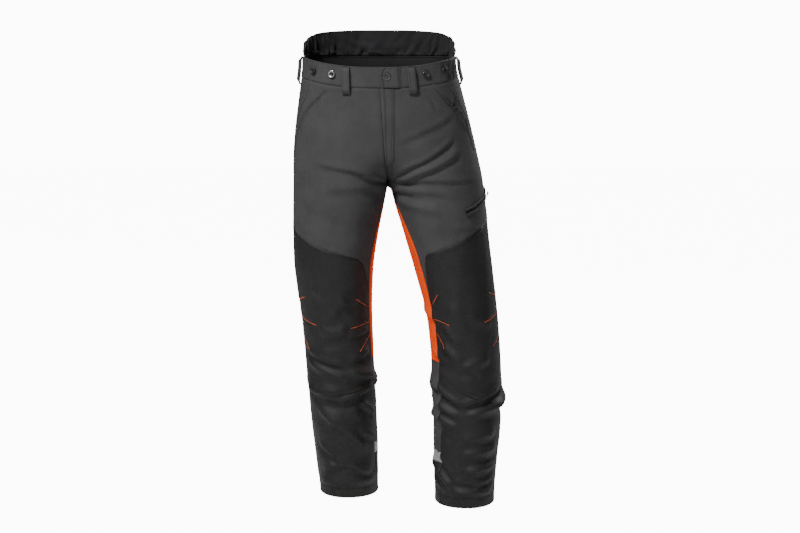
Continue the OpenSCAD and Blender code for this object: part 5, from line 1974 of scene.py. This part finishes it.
@dataclass
class Fly(RingWork):
    """The fly: its facings and tapes inside, and the curved stitching outside."""

    stitch_x: float = 0.0355
    fold_top: float = 0.0045
    end_z: float = -0.228

    def fold_x(self, z: Array) -> Array:
        """Where the fly's folded edge is."""
        middle = self.skin.outline.middle_x(z)
        return middle + self.fold_top * np.clip((z - self.end_z) / 0.18, 0, 1)

    def line_x(self, z: Array) -> Array:
        """Where the fly is sewn down, turning in to the middle at its foot."""
        turn = np.clip((z - self.end_z) / 0.020, 0, 1)
        start = self.fold_x(z) + 3 * MM
        return start + (self.stitch_x - start) * np.sqrt(1 - (1 - turn) ** 2)

    def build(self) -> None:
        """Stitches the outside and lays the cloth behind the zip."""
        lay = self.layout
        heights = np.linspace(self.end_z, lay.band_low - 1 * MM, 60)
        w_fold, w_line = (
            np.array([self.skin.u_at_x(float(x), float(z)) for x, z in zip(curve(heights), heights)])
            for curve in (self.fold_x, self.line_x))

        def place(s: Array, t: Array) -> Pair:
            """The ring's share and the height, from the folded edge to the sewn line."""
            z = mix(self.end_z, lay.band_low - 1 * MM, t)
            return mix(np.interp(z, heights, w_fold), np.interp(z, heights, w_line), s), z

        def lift(s: Array, t: Array, u: Array, z: Array) -> Array:
            """A rolled fold along the free edge, and a flat sewn edge behind a groove."""
            wide = self.line_x(z) - self.fold_x(z)
            across, to_line = s * wide, (1 - s) * wide
            roll = 1.5 * MM * np.exp(-((across - 1.8 * MM) / (1.8 * MM)) ** 2)
            groove = 0.9 * MM * np.exp(-((to_line - 4.0 * MM) / (1.6 * MM)) ** 2)
            full = 0.7 * MM * np.sin(math.pi * s) * (1 + 0.5 * np.sin(z * 95))
            return 1.5 * MM + roll + full - groove - 0.5 * MM * np.exp(-(to_line / (0.8 * MM)) ** 2)

        locate = self.skin.on_ring()
        placket = self.tailor.cloth("fly_placket_cloth", locate, place,
                                    crowded(0.030, 1.2 * MM, (0.4, 0.8)), crowded(0.18, 3 * MM, (0.5, 1.2)),
                                    Slot.GREY, ROOT, lift, 0.9 * MM, 0.2 * MM)
        self.tailor.declare(placket, "laid", ["front_cloth_left"])
        for share in (0.92, 0.20):
            self.row_on("fly_stitches", locate, place, lift, share, np.linspace(0.02, 0.99, 160), 0.15 * MM,
                        pitch=3.0 * MM, length=2.16 * MM)
        z = np.linspace(lay.crotch + 10 * MM, self.end_z, 60)
        for share in (-0.006, 0.006):
            self.row("fly_stitches", Slot.BLACK, share, z, 0.8 * MM, pitch=3.0 * MM)
        for node in ("fly_facing", "fly_shield"):
            self._strip(node)
        for side in (-1, 1):
            self._tape(side)

    def _strip(self, node: str) -> None:
        """A strip of cloth behind the fly, rounded at its foot, in the middle of its CAD node."""
        low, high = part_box(node)
        places = np.array([v.co for v in frame["nodes"][node].data.vertices])
        width, tall = high.x - low.x, high.z - low.z
        top = places[places[:, 2] > high.z - 3 * MM][:, 0]

        def shape(s: Array, t: Array, more: float = 0.0) -> Array:
            """The strip's front face."""
            z = mix(low.z + 0.026 * s ** 2, high.z, t)
            lean = self.skin.outline.middle_x(z) - self.skin.outline.middle_x(np.array(high.z))
            x = top.min() + lean + (top.max() - top.min()) * s
            return np.stack([x, self._front_y(places, x, z) - more, z], -1)

        bm = self.tailor.grid(crowded(width, 4 * MM), crowded(tall, 4 * MM), shape,
                              lambda s, t: shape(s, t, MM))
        obj = self.tailor.add(f"{node}_cloth", bm, Slot.GREY)

        self.tailor.thicken(obj, 0.9 * MM)
        ROOT.take(obj)
        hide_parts(node)
        self.tailor.declare(obj, "hung", ["front_cloth_left"])

    @staticmethod
    def _front_y(places: Array, x: Array, z: Array) -> Array:
        """A smooth sheet through a thin CAD strip's corners, fitted as a quadratic of x and z."""
        def terms(a: Array, b: Array) -> Array:
            """The quadratic's terms."""
            return np.stack([np.ones_like(a), a, b, a * a, a * b, b * b, a * a * b, b * b * b], -1)
        fit, *_ = np.linalg.lstsq(terms(places[:, 0], places[:, 2]), places[:, 1], rcond=None)
        return terms(x, z) @ fit

    def _tape(self, side: int) -> None:
        """One of the two tapes that carry the zip's teeth."""
        low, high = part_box("fly_zip_tapes")
        teeth_low, teeth_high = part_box("fly_zip_teeth")
        wide, y = 11 * MM, (low.y + high.y) / 2
        lean = high.x - low.x - 2 * wide - 5.0 * MM
        bm = bmesh.new()
        bmesh.ops.create_cube(bm, size=1.0)
        layer = bm.loops.layers.uv.verify()
        middle = (teeth_low.x + teeth_high.x) / 2
        for vert in bm.verts:
            z = mix(low.z, high.z, vert.co.z + 0.5)
            x = middle + side * (2.45 * MM + wide / 2) + vert.co.x * wide - lean * vert.co.z
            vert.co = (x, y + vert.co.y * 0.6 * MM, z)
        for face in bm.faces:
            for loop in face.loops:
                loop[layer].uv = (loop.vert.co.x, loop.vert.co.z)
        obj = self.tailor.add(f"fly_zip_tape_{1 if side < 0 else 2}", bm, Slot.ZIP_TAPE, smooth=False)
        ROOT.take(obj)
        if side < 0:
            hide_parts("fly_zip_tapes")


@dataclass
class HandPockets(RingWork):
    """The two slanted hand pockets: a lip along each mouth, its facing and its bag."""

    mouth_low: float = -0.200
    lip_wide: float = 0.030
    gapes: dict[Side, float] = field(default_factory=lambda: {Side.LEFT: 9.0 * MM, Side.RIGHT: 1.4 * MM})

    def mouth_u(self, t: Array) -> Array:
        """The mouth's u, by the share up from its lower end."""
        return 0.42 - 0.215 * np.clip(t, 0, 1) ** 2.0

    def build(self) -> None:
        """Builds both pockets."""
        for side in Side:
            self._pocket(side)

    def _pocket(self, side: Side) -> None:
        """Builds one pocket."""
        lay, word = self.layout, side.word
        locate = self.skin.on_leg(side)
        open_by = self.gapes[side]
        top = lay.band_low - 1 * MM

        def lip(s: Array, t: Array) -> Pair:
            """u and z of the lip, s from its sewn side to the mouth."""
            z = mix(self.mouth_low, top, t)
            pulled = open_by * 3.0 * np.exp(-((t - 0.80) / 0.13) ** 2)
            return self.mouth_u(t) - pulled * s - self.lip_wide * (1 - s), z

        def rise(s: Array, t: Array, u: Array, z: Array) -> Array:
            """The lip grows out of the panel and stands off at the mouth."""
            gape = np.sin(math.pi * np.clip((t - 0.30) / 0.66, 0, 1)) ** 1.5
            edge = (1 - s) * self.lip_wide * 0.72
            ends = ease(np.minimum(t, 1.02 - t) * 14)
            high = (-0.9 * MM * (1 - ease(s * 3.0)) + 1.1 * MM * ease(s * 2.0)
                    + open_by * gape * ease(s * 1.2) - 0.5 * MM * np.exp(-(edge / (1.0 * MM)) ** 2))
            return high * ends - 0.4 * MM * (1 - ends)

        obj = self.tailor.cloth(f"hand_pocket_lip_{word}", locate, lip, crowded(0.022, 2.4 * MM, (0.6, 1.5)),
                                crowded(0.17, 4 * MM), Slot.GREY, ROOT, rise, 1.2 * MM, 0.4 * MM)
        self.tailor.declare(obj, "hung", [f"front_cloth_{word}"])
        t = np.linspace(0.01, 0.99, 160)
        behind = mix(0.465, 0.315, t)
        height = mix(self.mouth_low + 0.045, top, t)
        self.stitching.row("pocket_stitches", Slot.BLACK, ROOT, locate(behind, height, 0.4 * MM),
                           3.2 * MM, 2.5 * MM, 0.34 * MM)
        for share in (0.86, 0.55):
            self.row_on("pocket_stitches", locate, lip, rise, share, t)

        def mouth(s: Array, t: Array) -> Pair:
            """u and z of the darker cloth that shows in the mouth."""
            z = mix(self.mouth_low + 0.05, top - 2 * MM, t)
            here = (z - self.mouth_low) / (top - self.mouth_low)
            return self.mouth_u(here) - 0.030 + (0.034 + 0.014 * np.sin(math.pi * t)) * s, z

        def edge(s: Array, t: Array, u: Array, z: Array) -> Array:
            """The far side of the mouth stands up where the pocket gapes."""
            gape = np.sin(math.pi * np.clip((t - 0.35) / 0.6, 0, 1))
            return (0.15 * MM - 0.9 * MM * s ** 6
                    + 0.42 * open_by * gape * ease((s - 0.62) / 0.2) * (1 - ease((s - 0.9) / 0.1)))

        shade = self.tailor.cloth(f"hand_pocket_mouth_{word}", locate, mouth, crowded(0.026, 2 * MM, (0.5,)),
                                  crowded(0.12, 4 * MM), Slot.GREY, ROOT, edge, 0.6 * MM)
        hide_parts("hand_pocket_facings")
        self.tailor.declare(shade, "hung", [f"front_cloth_{word}"])
        inner = self.skin.inside_leg(side)

        def bag(s: Array, t: Array) -> Pair:
            """u and z of the bag."""
            return mix(mix(0.16, 0.14, t), 0.45, s), mix(self.mouth_low - 0.040, lay.band_low - 4 * MM, t)

        cloth = self.tailor.cloth(f"hand_pocket_bag_{word}", inner, bag, crowded(0.19, 7 * MM),
                                  crowded(0.19, 7 * MM), Slot.LINING, ROOT,
                                  lambda s, t, u, z: -4.4 * MM + 0 * z, 1.0 * MM)
        if side is Side.LEFT:
            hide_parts("hand_pocket_bags")
        self.tailor.declare(cloth, "hung", [f"front_cloth_{word}"])


@dataclass
class BackPocket(RingWork):
    """The patch pocket behind the right hip, with its flap."""

    u_low: float = 0.62
    u_high: float = 0.86
    top: float = -0.085
    tall: float = 0.150
    flap: float = 0.052

    def build(self) -> None:
        """Builds the patch, the flap and their stitching."""
        locate = self.skin.on_leg(Side.RIGHT)
        wide = 0.125

        def patch(s: Array, t: Array) -> Pair:
            """u and z of the patch, its lower corners cut back."""
            corner = 0.012 * np.abs(2 * s - 1) ** 6
            return mix(self.u_low, self.u_high, s), mix(self.top - self.tall + corner, self.top - 8 * MM, t)

        def puff(s: Array, t: Array, u: Array, z: Array) -> Array:
            """Flat sewn edges and a slightly full middle."""
            edge = np.minimum(np.minimum(s, 1 - s) * wide, t * self.tall)
            return 1.3 * MM + 1.0 * MM * ease(edge / 0.03) - 0.5 * MM * np.exp(-(edge / MM) ** 2)

        obj = self.tailor.cloth("back_pocket_cloth", locate, patch, crowded(wide, 4.5 * MM),
                                crowded(self.tall, 4.5 * MM), Slot.GREY, ROOT, puff, 1.1 * MM, 0.3 * MM)
        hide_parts("back_pocket")
        self.tailor.declare(obj, "laid", ["back_cloth_right"])
        t, low, high = np.linspace(0.03, 0.97, 120), 0.025, 0.975
        for inset in (0.0, 0.045):
            for s, up in ((low + inset, t), (high - inset, t), (t, low + inset)):
                self.row_on("back_pocket_stitches", locate, patch, puff, s, up)
        self._flap(locate, wide)

    def _flap(self, locate: Locator, wide: float) -> None:
        """Builds the flap, which turns on its upper edge."""
        def place(s: Array, t: Array) -> Pair:
            """u and z of the flap, pointed below."""
            point = 8 * MM * (1 - np.abs(2 * s - 1))
            return (mix(self.u_low - 0.008, self.u_high + 0.008, s),
                    mix(self.top - self.flap - point, self.top, t))

        def lift(s: Array, t: Array, u: Array, z: Array) -> Array:
            """Just off the patch, with softened edges."""
            edge = np.minimum(np.minimum(s, 1 - s) * wide, np.minimum(t, 1 - t) * self.flap)
            return 4.6 * MM - 0.4 * MM * np.exp(-(edge / MM) ** 2)

        rider = Rider("pocket_flap")
        obj = self.tailor.cloth("back_pocket_flap_cloth", locate, place, crowded(wide, 4 * MM),
                                crowded(self.flap, 3.4 * MM), Slot.GREY, rider, lift, 1.4 * MM, 0.35 * MM)
        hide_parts("back_pocket_flap")
        self.tailor.declare(obj, "laid", ["back_pocket_cloth"])
        run = np.linspace(0.04, 0.96, 90)
        for s, t in ((0.03, run), (0.97, run), (run, 0.06), (run, 0.92)):
            self.row_on("back_flap_stitches", locate, place, lift, s, t, rider=rider)


@dataclass
class ThighPocket(RingWork):
    """The zipped pocket across the left thigh: lips, tape, coil and bag."""

    u_mid: float = 0.425
    z_mid: float = -0.317
    climb: float = 0.040
    sweep: float = 0.0861
    wide: float = 17 * MM

    def path(self, f: Array) -> Pair:
        """u and z along the zip, from -1 at its front end to 1 at its rear end."""
        return self.u_mid + f * self.sweep, self.z_mid + self.climb * f / 2

    def build(self) -> None:
        """Builds the pocket round the frame's slider and pull."""
        locate = self.skin.on_leg(Side.LEFT)
        half = self.wide / 2
        tape = self._strip("thigh_pocket_tape", Slot.ZIP_TAPE, -half + MM, half - MM,
                           lambda s, t: 0.5 * MM + 0 * s, 0.6 * MM, 1.03)
        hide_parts("thigh_pocket_zip")
        for name, way in (("thigh_pocket_lip_low", -1), ("thigh_pocket_lip_high", 1)):
            lip = self._strip(name, Slot.GREY, way * 2.4 * MM, way * half,
                              lambda s, t: 1.9 * MM + 1.9 * MM * ease((t - 0.25) / 0.45)
                              - 1.6 * MM * ease((t - 0.84) / 0.16), 1.0 * MM, 1.09)
            if way < 0:
                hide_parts("thigh_pocket_welt")
        self._coil(locate)
        for row in (-half + 3 * MM, half - 3 * MM):
            u, z = self.path(np.linspace(-1.06, 1.06, 120))
            self.stitching.row("thigh_pocket_stitches", Slot.BLACK, ROOT, locate(u, z + row, 3.4 * MM),
                               3.0 * MM, 2.2 * MM, 0.3 * MM)
        for end in (-1.08, 1.08):
            u, z = self.path(np.full(16, end))
            z = z + np.linspace(-4.5, 4.5, 16) * MM
            self.stitching.bars("thigh_pocket_bars", Slot.BLACK, ROOT, locate(u - 0.003, z, 2.0 * MM),
                                locate(u + 0.003, z, 2.0 * MM), 0.45 * MM)

        def bag_place(s: Array, t: Array) -> Pair:
            """u and z of the bag."""
            return (self.u_mid + mix(-self.sweep, self.sweep, s),
                    mix(self.z_mid - 0.105, self.z_mid + 0.022, t))

        bag = self.tailor.cloth("thigh_pocket_bag_cloth", self.skin.inside_leg(Side.LEFT), bag_place,
                                crowded(0.11, 7 * MM), crowded(0.127, 7 * MM), Slot.LINING, ROOT,
                                lambda s, t, u, z: -2.6 * MM + 0 * z, 0.9 * MM)
        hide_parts("thigh_pocket_bag")
        self.tailor.declare(bag, "hung", ["front_cloth_left"])

    def _strip(self, name: str, slot: Slot, near: float, far: float,
               lift: Callable[[Array, Array], Array], thick: float,
               reach: float) -> bpy.types.Object:
        """A strip beside the zip between two distances from its line."""
        def place(s: Array, t: Array) -> Pair:
            """u and z of the strip."""
            u, z = self.path(mix(-reach, reach, s))
            return u, z + mix(near, far, t)

        obj = self.tailor.cloth(name, self.skin.on_leg(Side.LEFT), place, crowded(0.11, 3 * MM, (0.6, 1.5)),
                                crowded(abs(far - near), 1.4 * MM, (0.5,)), slot, ROOT,
                                lambda s, t, u, z: lift(s, t), thick)
        self.tailor.declare(obj, "laid", ["front_cloth_left"])
        return obj

    def _coil(self, locate: Locator) -> None:
        """The closed coil as a row of small loops across the line."""
        u, z = self.path(np.linspace(-1, 1, 82))
        for side in (-1, 1):
            self.stitching.bars("thigh_pocket_coil", Slot.ZIP_TAPE, ROOT,
                                locate(u + 0.06 * MM * side, z - side * 0.3 * MM, 1.5 * MM),
                                locate(u, z + side * 2.3 * MM, 1.2 * MM), 0.42 * MM)


# ---------------------------------------------------------------- metal from the frame


@dataclass(frozen=True)
class FrameMetal:
    """Pieces that stay as the frame has them, with better finishes."""

    finishes: tuple[tuple[str, Slot], ...] = (
        ("waist_snap_cap", Slot.ZIP_METAL), ("waist_snap_post", Slot.GUNMETAL),
        ("brace_button_rivets", Slot.MOULDED), ("fly_zip_teeth", Slot.ZIP_METAL),
        ("fly_zip_slider", Slot.ZIP_METAL), ("fly_zip_pull", Slot.ZIP_METAL),
        ("thigh_pocket_slider", Slot.ZIP_METAL), ("thigh_pocket_pull", Slot.MOULDED))

    def dress(self, tailor: Tailor) -> None:
        """Gives each one its finish."""
        for node, slot in self.finishes:
            obj = frame["nodes"][node]
            obj.data.materials.clear()
            obj.data.materials.append(tailor.materials[slot])


# ---------------------------------------------------------------- studio


@dataclass(frozen=True)
class Studio:
    """A pale floor, a soft key light from the front left, and the camera."""

    distance: float = 4.0
    elevation: float = 8.5
    focal: float = 75.0
    target: tuple[float, float, float] = (0.049, 0.0, -0.479)
    floor_drop: float = 3 * MM
    ambient: float = 0.095
    backdrop: float = 12.0
    floor_glow: float = 11.0

    def build(self, floor_z: float) -> None:
        """Adds the floor, the lights, the world and the camera."""
        bm = bmesh.new()
        bmesh.ops.create_grid(bm, x_segments=1, y_segments=1, size=9.0)
        bmesh.ops.translate(bm, vec=(0, 0, floor_z - self.floor_drop), verts=bm.verts)
        floor = link("floor", mesh_of("floor", bm))
        material, sh = new_material("floor")
        seen = sh.node("LightPath").outputs["Is Camera Ray"]
        paint = sh.node("BsdfPrincipled", Base_Color=(0.9, 0.9, 0.9, 1.0), Roughness=0.9,
                        Emission_Color=(1, 1, 1, 1),
                        Emission_Strength=sh.spread(seen, 0.0, 1.0, 0.0, self.floor_glow))
        sh.feed(sh.node("OutputMaterial").inputs["Surface"], paint.outputs[0])
        floor.data.materials.append(material)
        world = bpy.data.worlds.new("studio")
        world.use_nodes = True
        sh = Shader(world.node_tree)
        seen = sh.node("LightPath").outputs["Is Camera Ray"]
        glow = sh.node("Background", Color=(1, 1, 1, 1),
                       Strength=sh.spread(seen, 0.0, 1.0, self.ambient, self.backdrop))
        sh.feed(sh.node("OutputWorld").inputs["Surface"], glow.outputs[0])
        bpy.context.scene.world = world
        self._light("key", (-1.3, -1.9, 2.1), (0.05, 0.0, -0.6), 0.55, 142.0)
        self._light("fill", (1.6, -3.0, 0.6), (0.1, 0.0, -0.6), 1.4, 10.0)
        self._light("rim", (1.6, 1.8, 1.0), (0.0, 0.0, -0.5), 1.0, 58.0)
        self._camera()

    def _light(self, name: str, place: Sequence[float], at: Sequence[float], size: float,
               power: float) -> None:
        """Adds a square area light that points at a place."""
        data = bpy.data.lights.new(name, "AREA")
        data.energy, data.size = power, size
        light = link(name, data)
        light.location = place
        light.rotation_euler = (Vector(at) - Vector(place)).to_track_quat("-Z", "Y").to_euler()

    def _camera(self) -> None:
        """Adds the camera and makes it the scene's."""
        data = bpy.data.cameras.new("camera")
        data.lens, data.sensor_width = self.focal, 36.0
        tilt = math.radians(self.elevation)
        camera, target = link("camera", data), Vector(self.target)
        camera.location = target + self.distance * Vector((0, -math.cos(tilt), math.sin(tilt)))
        camera.rotation_euler = (target - camera.location).to_track_quat("-Z", "Y").to_euler()
        bpy.context.scene.camera = camera


# ---------------------------------------------------------------- all of it


def main() -> None:
    """Builds the trousers on their frame, lights them and notes their size."""
    logging.basicConfig(level=logging.INFO, format="%(message)s")
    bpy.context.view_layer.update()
    outline = Outline(FrameSlicer(frame["nodes"])).measure()
    layout = Layout()
    skin = Skin(outline, FoldPlan(pleats=KneePleats.puckers(layout))).make()
    effects = Effects()
    tailor = Tailor({finish.slot: finish.make(effects) for finish in FINISHES})
    stitching = Stitching(tailor)
    work = (skin, layout, tailor, stitching)
    for side in Side:
        LegShell(*work, side).build()
        KneePleats(skin, layout, stitching, side).build()
        LegInsides(skin, layout, tailor, side).build()
    for part in (Waistband, BackGuard, WaistTab, BeltLoops, BraceButtons, Fly, HandPockets, BackPocket,
                 ThighPocket):
        part(*work).build()
        LOG.info("built %s", part.__name__)
    stitching.finish()
    for side in Side:
        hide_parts(f"knee_tacks_{side.word}")
    FrameMetal().dress(tailor)
    Studio().build(layout.hem)


if __name__ == "__main__":
    main()
